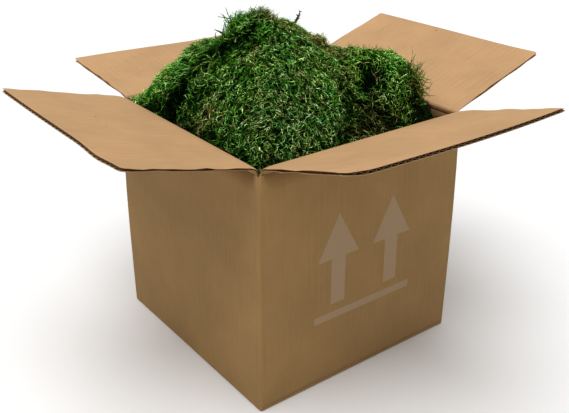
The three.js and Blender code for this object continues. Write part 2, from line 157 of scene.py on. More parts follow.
class StudioSettings(bpy.types.PropertyGroup):
    camera_place: triple(
        "Camera", "Where the camera stands", (0.6593, -0.5005, 0.5401), "TRANSLATION",
        unit="LENGTH")
    camera_aim: triple(
        "Aim", "The way the camera looks", (-0.7189, 0.5425, -0.4346), "DIRECTION")
    lens: number("Lens", "Focal length on a 36 mm sensor", 50.637, unit="CAMERA")
    floor_colour: colour("Floor", "Colour of the pale floor", (0.93, 0.93, 0.93))
    key_strength: number("Key", "Strength of the broad light overhead", 2.3, min=0)
    key_spread: number(
        "Key spread", "How broad the light overhead is", math.radians(50),
        min=0, max=math.pi, subtype="ANGLE")
    surround: number("Surround", "Strength of the white surround", 0.45, min=0)


# Mesh helpers


def shell_faces(rows, columns, around=False):
    """Quads between two grids of rows by columns points, the second one after the first."""
    count = rows * columns
    index = np.arange(count).reshape(rows, columns)
    if around:
        index = np.hstack([index, index[:, :1]])
    upper = [index[:-1, :-1], index[1:, :-1], index[1:, 1:], index[:-1, 1:]]
    top = np.stack(upper, -1).reshape(-1, 4)
    rims = [index[0], index[-1][::-1]]
    if not around:
        rims += [index[:, -1], index[::-1, 0]]
    sides = [np.stack([rim[:-1], rim[1:], rim[1:] + count, rim[:-1] + count], -1) for rim in rims]
    return np.concatenate([top, top[:, ::-1] + count, *sides])


class Gathered:
    """Gathers points, each with its traits, and faces, each with its paint, for one mesh."""

    def __init__(self):
        self.points, self.traits, self.faces, self.paints, self.count = [], [], [], [], 0

    def take(self, points, traits, faces, paints):
        self.points.append(points.reshape(-1, 3))
        self.traits.append(traits.reshape(len(self.points[-1]), -1))
        self.faces.append(faces + self.count)
        self.paints.append(np.zeros(len(faces), np.int32) + paints)
        self.count += len(self.points[-1])

    def made(self, name):
        """The mesh object, and its points' traits and its faces as arrays."""
        points, traits, faces, paints = (
            np.concatenate(rows) for rows in (self.points, self.traits, self.faces, self.paints))
        return new_piece(name, points, faces, paints), traits, faces


class Shape(Gathered):
    """Sheets of board. Each point's traits are its board coordinates."""

    def shell(self, outer, inner, place, around=False, paint=0, back_paint=0):
        """A closed sheet between two grids of points. The outer one takes paint."""
        rows, columns = outer.shape[:2]
        faces = shell_faces(rows, columns, around)
        paints = np.full(len(faces), back_paint)
        paints[:(rows - 1) * (columns - 1 + around)] = paint
        self.take(np.stack([outer, inner]), np.stack([place, place]), faces, paints)

    def build(self, name):
        piece, places, faces = self.made(name)
        add_map(piece, "Board", places[faces.ravel()])
        work = bmesh.new()
        work.from_mesh(piece.data)
        bmesh.ops.recalc_face_normals(work, faces=work.faces)
        work.to_mesh(piece.data)
        work.free()
        return piece


def new_piece(name, points, faces, paints=0):
    """A mesh object from arrays of points, of faces that have the same number of corners, and
    of each face's material."""
    mesh = bpy.data.meshes.new(name)
    mesh.vertices.add(len(points))
    mesh.vertices.foreach_set("co", points.astype(np.float32).ravel())
    mesh.loops.add(faces.size)
    mesh.loops.foreach_set("vertex_index", faces.astype(np.int32).ravel())
    mesh.polygons.add(len(faces))
    starts = np.arange(0, faces.size, faces.shape[1], dtype=np.int32)
    smooth, paints = np.full(len(faces), True), np.zeros(len(faces), np.int32) + paints
    for label, values in (
            ("loop_start", starts), ("use_smooth", smooth), ("material_index", paints)):
        mesh.polygons.foreach_set(label, values)
    mesh.update(calc_edges=True)
    piece = bpy.data.objects.new(name, mesh)
    bpy.context.scene.collection.objects.link(piece)
    return piece


def add_map(piece, name, corners):
    """A UV map from the places of all the faces' corners."""
    layer = piece.data.uv_layers.new(name=name)
    layer.uv.foreach_set("vector", corners.astype(np.float32).ravel())


def grid_of(x, y, z):
    return np.stack(np.broadcast_arrays(x, y, z), -1).astype(float)


def moved(points, matrix):
    m = np.array(matrix)
    return points @ m[:3, :3].T + m[:3, 3]


def unit(vectors):
    return vectors / np.maximum(np.linalg.norm(vectors, axis=-1, keepdims=True), 1e-12)


# Shader helpers


class Tree:
    """A node tree with short ways to add and join nodes."""

    def __init__(self, tree):
        self.tree = tree

    def add(self, kind, inputs=(), **settings):
        node = self.tree.nodes.new("ShaderNode" + kind)
        for name, value in settings.items():
            setattr(node, name, value)
        self.feed(node.inputs, inputs)
        return node

    def feed(self, sockets, values):
        """Joins a socket to each named input, or sets its value."""
        for name, value in dict(values).items():
            if isinstance(value, bpy.types.NodeSocket):
                self.tree.links.new(value, sockets[name])
            else:
                sockets[name].default_value = value

    def placed(self, group, **values):
        return self.add("Group", values, node_tree=group).outputs

    def math(self, operation, *values):
        return self.add("Math", enumerate(values), operation=operation).outputs[0]

    def times(self, *values):
        return reduce(partial(self.math, "MULTIPLY"), values)

    def plus(self, *values):
        return reduce(partial(self.math, "ADD"), values)

    def tinted(self, first, second):
        return self.add("VectorMath", {0: first, 1: second}, operation="MULTIPLY").outputs[0]

    def mix(self, factor, first, second):
        return self.add("Mix", {0: factor, 6: first, 7: second}, data_type="RGBA").outputs[2]

    def split(self, vector):
        return self.add("SeparateXYZ", {"Vector": vector}).outputs

    def mapped(self, vector, **how):
        return self.add("Mapping", {"Vector": vector, **how}).outputs[0]

    def noise(self, vector, scale, detail, rough):
        inputs = {"Vector": vector, "Scale": scale, "Detail": detail, "Roughness": rough}
        return self.add("TexNoise", inputs).outputs["Fac"]

    def ramp(self, value, low, high, to_low=0.0, to_high=1.0):
        inputs = {
            "Value": value, "From Min": low, "From Max": high,
            "To Min": to_low, "To Max": to_high,
        }
        return self.add("MapRange", inputs).outputs["Result"]


def node_group(name, outputs, **inputs):
    """Turns a function that draws a shader node group into one that builds it only once. A
    number or a colour gives its input's default, and None stands for a vector."""
    def wrapped(draw):
        def group():
            if name in bpy.data.node_groups:
                return bpy.data.node_groups[name]
            made = bpy.data.node_groups.new(name, "ShaderNodeTree")
            for label, value in inputs.items():
                kind = VECTOR if value is None else COLOUR if isinstance(value, tuple) else NUMBER
                socket = made.interface.new_socket(label, in_out="INPUT", socket_type=kind)
                if value is not None:
                    socket.default_value = value
            for label in outputs:
                kind = COLOUR if label == "Colour" else NUMBER
                made.interface.new_socket(label, in_out="OUTPUT", socket_type=kind)
            tree = Tree(made)
            result = draw(tree, made.nodes.new("NodeGroupInput").outputs)
            tree.feed(made.nodes.new("NodeGroupOutput").inputs, result)
            return made
        return group
    return wrapped


NUMBER, COLOUR, VECTOR = "NodeSocketFloat", "NodeSocketColor", "NodeSocketVector"


@node_group("Kraft liner", ("Colour", "Roughness", "Height"), Place=None,
            Colour=(0.5, 0.3, 0.15, 1), Pitch=0.0076, Lines=0.1, Mottle=0.3)
def liner_group(tree, given):
    """Kraft liner: mottled pulp, short fibres and flute lines."""
    place = given["Place"]
    turn = tree.times(tree.math("DIVIDE", tree.split(place)["X"], given["Pitch"]), math.tau)
    fibres = tree.noise(tree.mapped(place, Scale=(1.0, 0.12, 1.0)), 1900, 4, 0.65)
    pulp = tree.noise(place, 420, 5, 0.7)
    cloud = tree.noise(place, 14, 4, 0.6)
    streaks = tree.noise(tree.mapped(place, Scale=(1.0, 0.05, 1.0)), 420, 3, 0.6)
    grain = tree.plus(
        tree.ramp(fibres, 0.3, 0.7, -0.5, 0.5), tree.ramp(pulp, 0.3, 0.7, -0.6, 0.6))
    broad = tree.plus(
        tree.ramp(cloud, 0.3, 0.7, -0.6, 0.6), tree.ramp(streaks, 0.3, 0.7, -0.3, 0.3))
    shade = tree.times(tree.plus(tree.times(grain, 0.4), broad), given["Mottle"])
    patchy = tree.ramp(tree.noise(place, 24, 2, 0.5), 0.42, 0.62)
    lines = tree.times(tree.math("COSINE", turn), given["Lines"], patchy)
    coloured = tree.add(
        "VectorMath", {0: given["Colour"], "Scale": tree.plus(shade, lines, 1.0)},
        operation="SCALE")
    return {
        "Colour": coloured.outputs[0],
        "Roughness": tree.ramp(pulp, 0.3, 0.7, 0.78, 0.92),
        "Height": tree.plus(tree.times(fibres, 0.4), tree.times(pulp, 0.6)),
    }


@node_group("Printed arrows", ("Mask",), Place=None, Middle=0.0, Foot=0.08, Size=0.1)
def arrows_group(tree, given):
    """A mask of two plain arrows over a bar, for worn ink on a wall."""
    arrow_middle, head_half, shaft_half, head_foot, tip = 0.34, 0.25, 0.085, 0.66, 1.12
    shaft_rise, bar_rise, bar_half = (0.42, 0.26), (0.03, 0.04), 0.62
    spot = tree.split(given["Place"])
    across, up = (
        tree.math("DIVIDE", tree.math("SUBTRACT", spot[axis], given[start]), given["Size"])
        for axis, start in (("X", "Middle"), ("Y", "Foot")))
    across = tree.math("ABSOLUTE", across)
    beside = tree.math("ABSOLUTE", tree.math("SUBTRACT", across, arrow_middle))
    slope = head_half / (tip - head_foot)
    head_edge = tree.times(tree.math("SUBTRACT", tip, up), slope)
    head = tree.times(
        tree.math("LESS_THAN", beside, head_edge), tree.math("GREATER_THAN", up, head_foot))
    shaft = tree.times(
        tree.math("LESS_THAN", beside, shaft_half), tree.math("COMPARE", up, *shaft_rise))
    bar = tree.times(
        tree.math("LESS_THAN", across, bar_half), tree.math("COMPARE", up, *bar_rise))
    mask = tree.math("MAXIMUM", tree.math("MAXIMUM", head, shaft), bar)
    worn = tree.ramp(tree.noise(given["Place"], 900, 3, 0.6), 0.3, 0.5, 0.55, 1.0)
    return {"Mask": tree.times(mask, worn)}


@node_group("Scuff", ("Mask",), Place=None, Middle=None, Turn=0.0, Length=0.003, Width=0.0006)
def scuff_group(tree, given):
    """A mask of one short dark scuff."""
    offset = tree.add("VectorMath", {0: given["Place"], 1: given["Middle"]}, operation="SUBTRACT")
    turned = tree.add(
        "VectorRotate", {"Vector": offset.outputs[0], "Angle": given["Turn"]},
        rotation_type="Z_AXIS")
    spot = tree.split(turned.outputs[0])
    along, beside = (
        tree.math("POWER", tree.math("DIVIDE", spot[axis], given[extent]), 2.0)
        for axis, extent in (("X", "Length"), ("Y", "Width")))
    ragged = tree.ramp(tree.noise(given["Place"], 1500, 2, 0.6), 0.3, 0.7, -0.5, 0.5)
    return {"Mask": tree.ramp(tree.plus(along, beside, ragged), 0.5, 1.1, 1.0, 0.0)}


def new_material(name):
    material = bpy.data.materials.new(name)
    material.use_nodes = True
    return material, Tree(material.node_tree), material.node_tree.nodes["Principled BSDF"].inputs


def finish(tree, shader, colour, roughness, specular, height=None, distance=0.002):
    """Feeds a material's shader, with a bump of that distance where height is given."""
    tree.feed(shader, {
        "Base Color": colour, "Roughness": roughness, "Specular IOR Level": specular})
    if height is not None:
        bump = tree.add("Bump", {"Height": height, "Distance": distance, "Strength": 1.0})
        tree.feed(shader, {"Normal": bump.outputs[0]})


def solid(colour, share=1.0):
    """A colour with full alpha, darkened to a share."""
    return (*[channel * share for channel in colour], 1)


def board_material(name, colour, settings, lines, printed=None, scuffs=(), shade_below_rim=None):
    """Kraft liner by board coordinates in metres, with printed arrows where printed says. Below the
    rim its colour keeps only the shares that the last argument gives: painted shade."""
    material, tree, shader = new_material(name)
    place = tree.add("UVMap", uv_map="Board").outputs[0]
    liner = tree.placed(
        liner_group(), Place=place, Colour=solid(colour), Pitch=settings.flute_pitch,
        Lines=lines, Mottle=0.16)
    shown = liner["Colour"]
    if printed:
        arrows = tree.placed(arrows_group(), Place=place, **printed)
        shown = tree.mix(arrows["Mask"], shown, solid(settings.ink_colour))
    for middle, turn, length, width, strength in scuffs:
        scuff = tree.placed(
            scuff_group(), Place=place, Middle=(*middle, 0), Turn=turn, Length=length,
            Width=width)
        shown = tree.mix(tree.times(scuff["Mask"], strength), shown, solid(colour, 0.2))
    # painted shade: the liner is darkened below the rim, where the insides of the walls lie in
    # shadow
    if shade_below_rim:
        height = tree.split(place)["Y"]
        dulled = tree.add("CombineXYZ", {
            axis: tree.ramp(height, RIM - 0.0006, RIM - 0.0001, left, 1.0)
            for axis, left in enumerate(shade_below_rim)})
        shown = tree.tinted(shown, dulled.outputs[0])
    finish(tree, shader, shown, liner["Roughness"], 0.25, liner["Height"], 0.00012)
    return material


OUTSIDE_LINES = 0.018


def inner_liner(settings):
    """The pale inner liner, scuffed on the flaps, and darkened below the rim by painted shade."""
    name = "Kraft inside"
    if name in bpy.data.materials:
        return bpy.data.materials[name]
    scuffs = [((x + quarter * SIDE, RIM + out), *rest) for x, out, quarter, *rest in SCUFFS]
    return board_material(
        name, settings.inside_colour, settings, 0.03, scuffs=scuffs, shade_below_rim=(0.34, 0.29, 0.24))


@node_group("Moss strand", ("Colour", "Roughness"), Place=None, Along=0.5, Tint=0.5, Shade=0.0,
            Olive=0.0, Grey=0.5, Main=(0.1, 0.25, 0.05, 1), Tip=(0.2, 0.4, 0.06, 1),
            Patch=(0.2, 0.2, 0.06, 1), Dry=(0.5, 0.4, 0.2, 1), Root=(0.01, 0.015, 0.005, 1))
def strand_group(tree, given):
    """Colour of a strand: dark at its root, partly as painted shade, olive by place, with some
    strands dry, and painted light and shade from its tint and its shade mark.
    """
    place, tint = given["Place"], given["Tint"]
    # leaflets: the light and shade of tiny leaves along each strand, painted as a fine noise
    leaflets = tree.noise(place, 900, 1, 0.5)
    swells = tree.noise(place, 46, 2, 0.5)
    elsewhere = tree.mapped(place, Location=(3.0, 1.0, 2.0))
    warm = tree.ramp(tree.noise(elsewhere, 30, 3, 0.6), 0.36, 0.64)
    fresh = tree.ramp(tint, 0.4, 0.9)
    green = tree.mix(fresh, given["Main"], given["Tip"])
    for factor, low, high in (
            (warm, (0.64, 1.0, 0.80, 1), (1.10, 1.08, 0.86, 1)),
            (given["Grey"], (0.90, 1.04, 0.66, 1), (1.12, 0.98, 1.25, 1))):
        green = tree.tinted(green, tree.mix(factor, low, high))
    dulled = tree.mix(tree.times(fresh, 0.55), given["Patch"], given["Dry"])
    blend = tree.times(tree.ramp(given["Olive"], 0.2, 0.85), 0.85)
    withered = tree.math("GREATER_THAN", tint, LIVE_TINT + 0.005)
    body = tree.mix(withered, tree.mix(blend, green, dulled), given["Dry"])
    # strands darken towards the root: partly older stems, partly painted shade among the strands
    colour = tree.mix(tree.ramp(given["Along"], 0.0, 0.55), given["Root"], body)
    # painted light and shade: brightness by tint, up to four times the colour as a painted
    # highlight, by the shade mark as painted shade, and lower for dry strands
    bright = tree.math("POWER", tree.ramp(tint, 0.0, LIVE_TINT), 1.5)
    light = tree.times(
        tree.ramp(bright, 0.0, 1.0, 0.5, 4.0),
        tree.ramp(leaflets, 0.44, 0.56, 0.35, 1.65),
        tree.ramp(swells, 0.35, 0.65, 0.94, 1.06),
        tree.ramp(given["Shade"], 0.0, 1.0, 1.0, 0.04),
        tree.ramp(withered, 0.0, 1.0, 1.0, 0.45))
    # painted highlights turn pale and painted shade turns a purer green
    paling = tree.add("CombineXYZ", {
        0: tree.math("POWER", light, 1.4), 1: light, 2: tree.math("POWER", light, 1.9)})
    paling = tree.mix(tree.math("MAXIMUM", blend, withered), paling.outputs[0], light)
    return {
        "Colour": tree.tinted(colour, paling),
        "Roughness": tree.ramp(leaflets, 0.3, 0.7, 0.5, 0.75),
    }


def moss_material(name, main, tip, patch, moss):
    material, tree, shader = new_material(name)
    marks = {
        label.capitalize(): tree.add("Attribute", attribute_name=label).outputs["Fac"]
        for label in MARKS}
    strand = tree.placed(
        strand_group(), Place=tree.add("TexCoord").outputs["Object"], Main=solid(main),
        Tip=solid(tip), Patch=solid(patch), Dry=solid(moss.dry_colour),
        Root=solid(moss.core_colour), **marks)
    finish(tree, shader, strand["Colour"], strand["Roughness"], 0.06)
    return material


def thatch_material(moss):
    """The thatch under the strands: dark moss, painted near black as the shade beneath them."""
    material, tree, shader = new_material("Moss thatch")
    crumb = tree.noise(tree.add("TexCoord").outputs["Object"], 500, 4, 0.7)
    colours = (solid(moss.core_colour, share) for share in (0.4, 1.0))
    finish(tree, shader, tree.mix(tree.ramp(crumb, 0.4, 0.65), *colours), 1.0, 0.0, crumb)
    return material


def packed_material(moss):
    """Pressed moss seen edge on: crumbly olive and brown."""
    material, tree, shader = new_material("Pressed moss")
    place = tree.add("TexCoord").outputs["Object"]
    crumb = tree.noise(tree.mapped(place, Scale=(1, 1, 3)), 900, 4, 0.7)
    patch = tree.ramp(tree.noise(place, 40, 3, 0.6), 0.4, 0.6)
    colour = tree.mix(patch, solid(moss.olive_colour), solid(moss.mid_colour))
    colour = tree.mix(tree.ramp(crumb, 0.38, 0.6), solid(moss.core_colour), colour)
    finish(tree, shader, colour, tree.ramp(crumb, 0.3, 0.7, 0.8, 0.98), 0.5, crumb)
    return material


# Carton


def washed(along, settings, face):
    """How far a liner sinks between two flutes. face is 1 for the inner liner, -1 for the outer."""
    wave = np.cos(math.tau * along / settings.flute_pitch)
    return settings.washboard * (1 - face * wave) / 2


def flap_rows(settings, rest_angle):
    """Cross-section of the board from the wall over the fold to the free edge, in the plane
    (outward, up) from the fold line: base points of the outer face, directions through the
    board, share of the full thickness left by the score, distances from the fold."""
    crushed, fan_steps = 0.62, 4
    rest = math.radians(rest_angle)
    rows = []
    for drop, left in ((settings.strip, 1.0), (0.0022, 0.95), (0.001, 0.8)):
        rows.append(((-FOLD_OUTSET, -drop), math.pi, left, -drop))
    for step in range(fan_steps + 1):
        share = step / fan_steps
        angle = math.pi - share * (math.pi / 2 - rest)
        rows.append(((-FOLD_OUTSET * (1 - share), 0.0), angle, crushed, 0.0))
    ends = (0.012, 0.035, *np.linspace(0.08, 0.95, 12), 0.985, 1.0)
    for share in ends:
        out = share * settings.flap_length
        left = 1 - (1 - crushed) * math.exp(-((out / 0.003) ** 2))
        base = (out * math.cos(rest), out * math.sin(rest))
        rows.append((base, math.pi / 2 + rest, left, out))
    base, angle, left, out = (np.array(column, float) for column in zip(*rows))
    through = np.stack([np.cos(angle), np.sin(angle)], -1)
    return base, through, left, out


def flap_piece(name, settings):
    """One flap of corrugated board, continuous with the top of its wall."""
    body, quarter, rest_angle, sag, sag_at, rounding, dip, drawn = FLAPS[name]
    base, through, left, out = flap_rows(settings, rest_angle)
    width = SIDE - settings.slot
    flutes = round(width / settings.flute_pitch)
    place = Matrix.Rotation(math.radians(90 * quarter + 180), 4, "Z")
    place = place @ Matrix.Translation((0, HALF + FOLD_OUTSET, RIM))
    skew = math.log(0.5) / math.log(sag_at)
    rest = math.radians(rest_angle)
    dip_at, dip_run = 0.17, 0.09
    pinch_run, wobble_run, ragged_run, wobble, ragged = 0.0035, 0.009, 0.002, 0.0004, 0.0004

    def at(x, depth):
        """Points at x along the fold and depth through the board, on every row."""
        share = np.clip(x / width + 0.5, 0, 1)[None, :]
        reach = np.clip(out / settings.flap_length, 0, 1)[:, None]
        from_edge = (width / 2 - np.abs(x))[None, :]
        side = np.sign(x)[None, :]
        run = out[:, None] + 0.4 * side + quarter
        off_fold = np.clip(reach * 6, 0, 1)

        def beside(within):
            return np.exp(-((from_edge / within) ** 2))

        bow = -sag * np.sin(np.pi * share ** skew) * reach ** 1.6
        bow = bow - dip * np.exp(-(((share - dip_at) / dip_run) ** 2)) * reach ** 3
        wave = soft_noise(run, side * 0.3, 0.011, 21)
        bow = bow + wobble * wave * (beside(wobble_run) * off_fold)
        radius = np.where(side < 0, *rounding)
        inside = np.clip(radius - from_edge, 0, radius)
        short = radius - np.sqrt(radius ** 2 - inside ** 2)
        pulled = short * np.clip(reach * 5 - 4, 0, 1) - drawn[1] * share * reach
        crushed = np.clip(0.3 + 0.5 * soft_noise(run, side * 0.5, 0.011, 23), 0.0, 0.75)
        middle = settings.board / 2
        pinched = (depth - middle) * (1 - crushed * beside(pinch_run))
        lift = (middle + pinched) * left[:, None] + bow
        cut = ragged * soft_noise(run, side * 0.7, 0.005, 22) * beside(ragged_run) * off_fold
        outward, up = (
            base[:, axis:axis + 1] + through[:, axis:axis + 1] * lift - pulled * way
            for axis, way in enumerate((math.cos(rest), math.sin(rest))))
        return moved(grid_of(x[None, :] + cut + drawn[0] * share * reach, outward, up), place)

    def sheet(x, depth, thickness, paint, back_paint):
        along = x[None, :] + quarter * SIDE
        spots = np.stack(np.broadcast_arrays(along, (RIM + out)[:, None]), -1)
        upper, lower = at(x, depth + thickness / 2), at(x, depth - thickness / 2)
        shape.shell(upper, lower, spots, paint=paint, back_paint=back_paint)

    shape = Shape()
    half_liner = settings.liner / 2
    x = np.linspace(-width / 2, width / 2, flutes * 2 + 1)
    edges = np.array([0.0004, 0.0014, 0.0026, 0.0053, 0.009, 0.0128])
    x = np.unique(np.concatenate([x, -width / 2 + edges, width / 2 - edges]))
    inner = settings.board - half_liner - washed(x, settings, 1)
    outer = half_liner + washed(x, settings, -1)
    sheet(x, inner, settings.liner, 0, 0)
    sheet(x, outer, settings.liner, 0, 1)
    inset = 0.0032
    x = np.linspace(-width / 2 + inset, width / 2 - inset, flutes * 4 + 1)
    swing = settings.board / 2 - settings.liner - settings.medium / 2
    wave = settings.board / 2 + swing * np.cos(math.tau * x / settings.flute_pitch)
    sheet(x, wave, settings.medium, 2, 2)
    piece = shape.build(name + "_board")
    outward = np.array(place.to_3x3() @ Vector((0, 1, 0)))
    hinge = np.array(HINGE[body])
    start = hinge - outward * 0.001 - np.array([0, 0, 0.003])
    end = hinge + outward * 0.003 + np.array([0, 0, 0.002])
    return piece, body, start, end


def ring(half, radius, flutes, slot_edge):
    """Columns round the four walls: wall number, place along it, way out, distance from the
    nearest corner and board coordinate."""
    straight = half - radius
    half_arc = radius * math.pi / 4
    spare = np.array([slot_edge, slot_edge + 0.0004, slot_edge + 0.0008, straight])
    wall = np.linspace(-slot_edge + 0.0001, slot_edge - 0.0001, flutes * 2 + 1)
    stops = np.concatenate([-spare[::-1], wall, spare])
    columns = []
    for quarter in range(4):
        turn = quarter * math.pi / 2
        for stop in stops:
            from_corner = straight - abs(stop) + half_arc
            columns.append((quarter, stop, turn, from_corner, SIDE * quarter + stop))
        for step in (0.25, 0.5, 0.75):
            slip = (step - 0.5) * 2 * radius
            from_corner = abs(step - 0.5) * 2 * half_arc
            along = SIDE * (quarter + 0.5) + slip
            columns.append((quarter, straight, turn + step * math.pi / 2, from_corner, along))
    return (np.array(column) for column in zip(*columns))


def ring_points(half, radius, quarter, stop, turn, scale=1.0):
    """Points of those columns on a square of another half width and corner radius."""
    base = quarter * math.pi / 2
    way = np.stack([np.cos(base), np.sin(base)], -1)
    run = np.stack([-way[:, 1], way[:, 0]], -1)
    out = np.stack([np.cos(turn), np.sin(turn)], -1)
    middle = way * (half - radius) + run * (stop * scale)[:, None]
    return middle + out * radius, out


def wall_piece(settings):
    """Four walls, the bottom flaps and the glued lap."""
    flutes = round(SIDE / settings.flute_pitch)
    corner, inner_corner, bottom_round = 0.0025, 0.001, 0.002
    notch_depth, groove, groove_half, bulge_rise = 0.005, 0.0011, 0.0007, 0.0006
    slot_edge = (SIDE - settings.slot) / 2
    quarter, stop, turn, from_corner, along = ring(HALF, corner, flutes, slot_edge)
    points, ways = ring_points(HALF, corner, quarter, stop, turn)
    inner_half = HALF - settings.board
    scale = (inner_half - inner_corner) / (HALF - corner)
    inner_points = ring_points(inner_half, inner_corner, quarter, stop, turn, scale)[0]
    at_corner = np.abs(stop) >= slot_edge
    reach = HALF - corner - slot_edge + corner * math.pi / 4
    notch = notch_depth * np.clip(1 - from_corner / reach, 0, 1)
    top = np.where(at_corner, CARTON_HIGH.z - notch, RIM - settings.strip)
    bend = np.where((quarter % 2 == 0) & (np.abs(stop) < HALF - corner), groove, 0.0)
    raw_edge = (quarter == 2) & (np.abs(stop + slot_edge + 0.0004) < 0.0001)
    raw_edge = np.where(raw_edge, groove, 0.0)
    angles = np.linspace(0, math.pi / 2, 4)
    rows = [(bottom_round * (1 - math.sin(a)), bottom_round * (1 - math.cos(a))) for a in angles]
    for inset, step in ((0.0, -groove_half), (bend, 0.0), (0.0, groove_half)):
        rows.append((inset, settings.board + step))
    levels = (0.0085, 0.0095, 0.05, 0.10, 0.15, 0.20, 0.24)
    rows += [(np.where(z > 0.009, raw_edge, 0.0), z) for z in levels]
    rows.append((raw_edge * 0.0, top))
    outer_rows, inner_rows, spots = [], [], []
    dip = washed(along, settings, -1) * ~at_corner
    for inset, z in rows:
        height = np.broadcast_to(z, top.shape)
        bulge = bulge_rise * math.sin(math.pi * height.mean() / RIM)
        sunk = bulge - inset - dip * (height.mean() > bottom_round)
        outer_rows.append(np.column_stack([points + ways * sunk[:, None], height]))
        inner_rows.append(np.column_stack([inner_points, height]))
        spots.append(np.column_stack([along, height]))
    shape = Shape()
    grids = (np.array(rows) for rows in (outer_rows, inner_rows, spots))
    shape.shell(*grids, around=True, back_paint=1)
    add_bottom(shape, settings)
    add_lap(shape, settings)
    shape.points = [swollen(group, settings.swell) for group in shape.points]
    return shape.build("carton_walls")


def swollen(points, swell):
    """Walls pushed out by what they hold, most at the foot and least at the back."""
    share = 1 + swell / HALF * (1 - np.clip(points[:, 2] / RIM, 0, 1) ** 4)
    x = points[:, 0] * share
    y = np.where(points[:, 1] < 0, points[:, 1] * share, points[:, 1])
    return np.column_stack([x, y, points[:, 2]])


def add_lap(shape, settings):
    """The lap glued to the left wall's inner face beside the back corner."""
    width, top_drop, face = 0.035, 0.006, HALF - settings.board
    y = np.linspace(face - width, face - 0.0003, 12)[None, :]
    z = np.linspace(2 * settings.board, CARTON_HIGH.z - top_drop, 6)[:, None]
    near, far = (grid_of(-face + depth, y, z) for depth in (settings.board, 0.0001))
    shape.shell(near, far, np.stack(np.broadcast_arrays(y + 4.0, z), -1))


def add_panel(shape, low, high, settings, flutes_run, around_offset):
    """A flat sheet of board between two corners. Its flutes run along axis flutes_run."""
    across = 1 - flutes_run
    count = max(round((high[across] - low[across]) / settings.flute_pitch) * 3, 6)
    wide = np.linspace(low[across], high[across], count + 1)
    long = np.linspace(low[flutes_run], high[flutes_run], 4)
    a, b = np.meshgrid(wide, long)
    x, y = (a, b) if across == 0 else (b, a)
    dip = washed(a, settings, 1)
    upper = grid_of(x, y, high[2] - dip)
    lower = grid_of(x, y, low[2] + washed(a, settings, -1))
    shape.shell(upper, lower, np.stack([a + around_offset, b], -1))


def add_bottom(shape, settings):
    """The bottom flaps: the outer pair meets along X, the inner pair along Y, above it."""
    seam, seam_place, gap = 0.0005, 0.003, 0.0002
    inner = HALF - settings.board - gap
    lower, upper = settings.board - gap, 2 * settings.board
    for low_y, high_y in ((-inner, seam_place - seam), (seam_place + seam, inner)):
        add_panel(shape, (-inner, low_y, 0.0), (inner, high_y, lower), settings, 1, 2.0)
    for low_x, high_x in ((-inner, -seam), (seam, inner)):
        low, high = (low_x, -inner, settings.board), (high_x, inner, upper)
        add_panel(shape, low, high, settings, 0, 3.0)


# Moss surfaces read from the frame

CELL = 0.002
REACH = HALF - 0.0045
AXIS = np.linspace(-REACH, REACH, int(2 * REACH / CELL) + 1)
STEP = AXIS[1] - AXIS[0]
GRID_X, GRID_Y = np.meshgrid(AXIS, AXIS, indexing="ij")


def cast(node):
    """Heights of a node's uppermost and lowest faces on the grid, NaN where there is none."""
    tree = BVHTree.FromObject(frame["nodes"][node], bpy.context.evaluated_depsgraph_get())

    def height(x, y, start):
        hit = tree.ray_cast((x, y, start), (0, 0, -start))[0]
        return np.nan if hit is None else hit.z

    return [np.array([[height(x, y, start) for y in AXIS] for x in AXIS]) for start in (1, -1)]


def windows(field, size, fill):
    """The field moved by each step of a square window: both steps and the moved field."""
    padded = np.pad(field, size, constant_values=fill)
    rows, columns = field.shape
    for i in range(2 * size + 1):
        for j in range(2 * size + 1):
            yield i - size, j - size, padded[i:i + rows, j:j + columns]


def opened(field):
    """The field without what is narrower than a window of five cells."""
    for pick in (np.fmin, np.fmax):
        field = reduce(pick, (near for _, _, near in windows(field, 2, np.nan)))
    return field


def blurred(field, times=1):
    """A soft mean that leaves out the empty cells."""
    for _ in range(times):
        total = weight = 0.0
        for i, j, near in windows(field, 1, np.nan):
            share, known = (2 - abs(i)) * (2 - abs(j)), np.isfinite(near)
            total = total + share * np.where(known, near, 0.0)
            weight = weight + share * known
        field = np.where(weight > 0, total / np.maximum(weight, 1e-9), np.nan)
    return field


def between(values, i, j, s, t):
    """values of i and j between four whole places, at the shares s and t."""
    return ((1 - s) * (1 - t) * values(i, j) + s * (1 - t) * values(i + 1, j)
            + (1 - s) * t * values(i, j + 1) + s * t * values(i + 1, j + 1))


def lattice(field, x, y):
    """Field at places between the grid's points."""
    a, b = (np.clip((place + REACH) / STEP, 0, len(AXIS) - 1.001) for place in (x, y))
    i, j = a.astype(int), b.astype(int)
    return between(lambda m, n: field[m, n], i, j, a - i, b - j)


def soft_noise(x, y, size, seed):
    """Smooth noise from -1 to 1 with swells about size wide."""
    table = np.random.default_rng(seed).uniform(-1, 1, (64, 64))
    a, b = x / size + 31.7, y / size + 17.3
    i, j = np.floor(a).astype(int), np.floor(b).astype(int)
    s, t = (share * share * (3 - 2 * share) for share in (a - i, b - j))
    return between(lambda m, n: table[m % 64, n % 64], i, j, s, t)


def distance_to(mask, reach):
    """Distance from each cell to the nearest one in mask, in metres, up to reach cells."""
    steps = (np.where(near, math.hypot(i, j), reach + 1.0)
             for i, j, near in windows(mask, reach, False))
    return reduce(np.minimum, steps) * STEP


UPPER_SHEETS = ("moss_sheet_crest", "moss_sheet_left")

# Hollows between the sheets, with painted shade in them: x, y, radius, how much deeper than the
# solids
HOLLOWS = ((-0.042, -0.112, 0.012, 0.014), (0.075, 0.052, 0.010, 0.008))
# Gaps under the edge of the two upper sheets, sunk and painted with shade: width, depth, darkness
# of the painted shade, line
GAPS = (
    (0.0036, 0.005, 1.4, (
        (0.010, -0.049), (0.010, -0.056), (0.002, -0.060), (-0.008, -0.068), (-0.030, -0.069))),
    (0.0026, 0.003, 0.8, (
        (-0.030, -0.072), (-0.038, -0.080), (-0.036, -0.090), (-0.040, -0.101))),
)
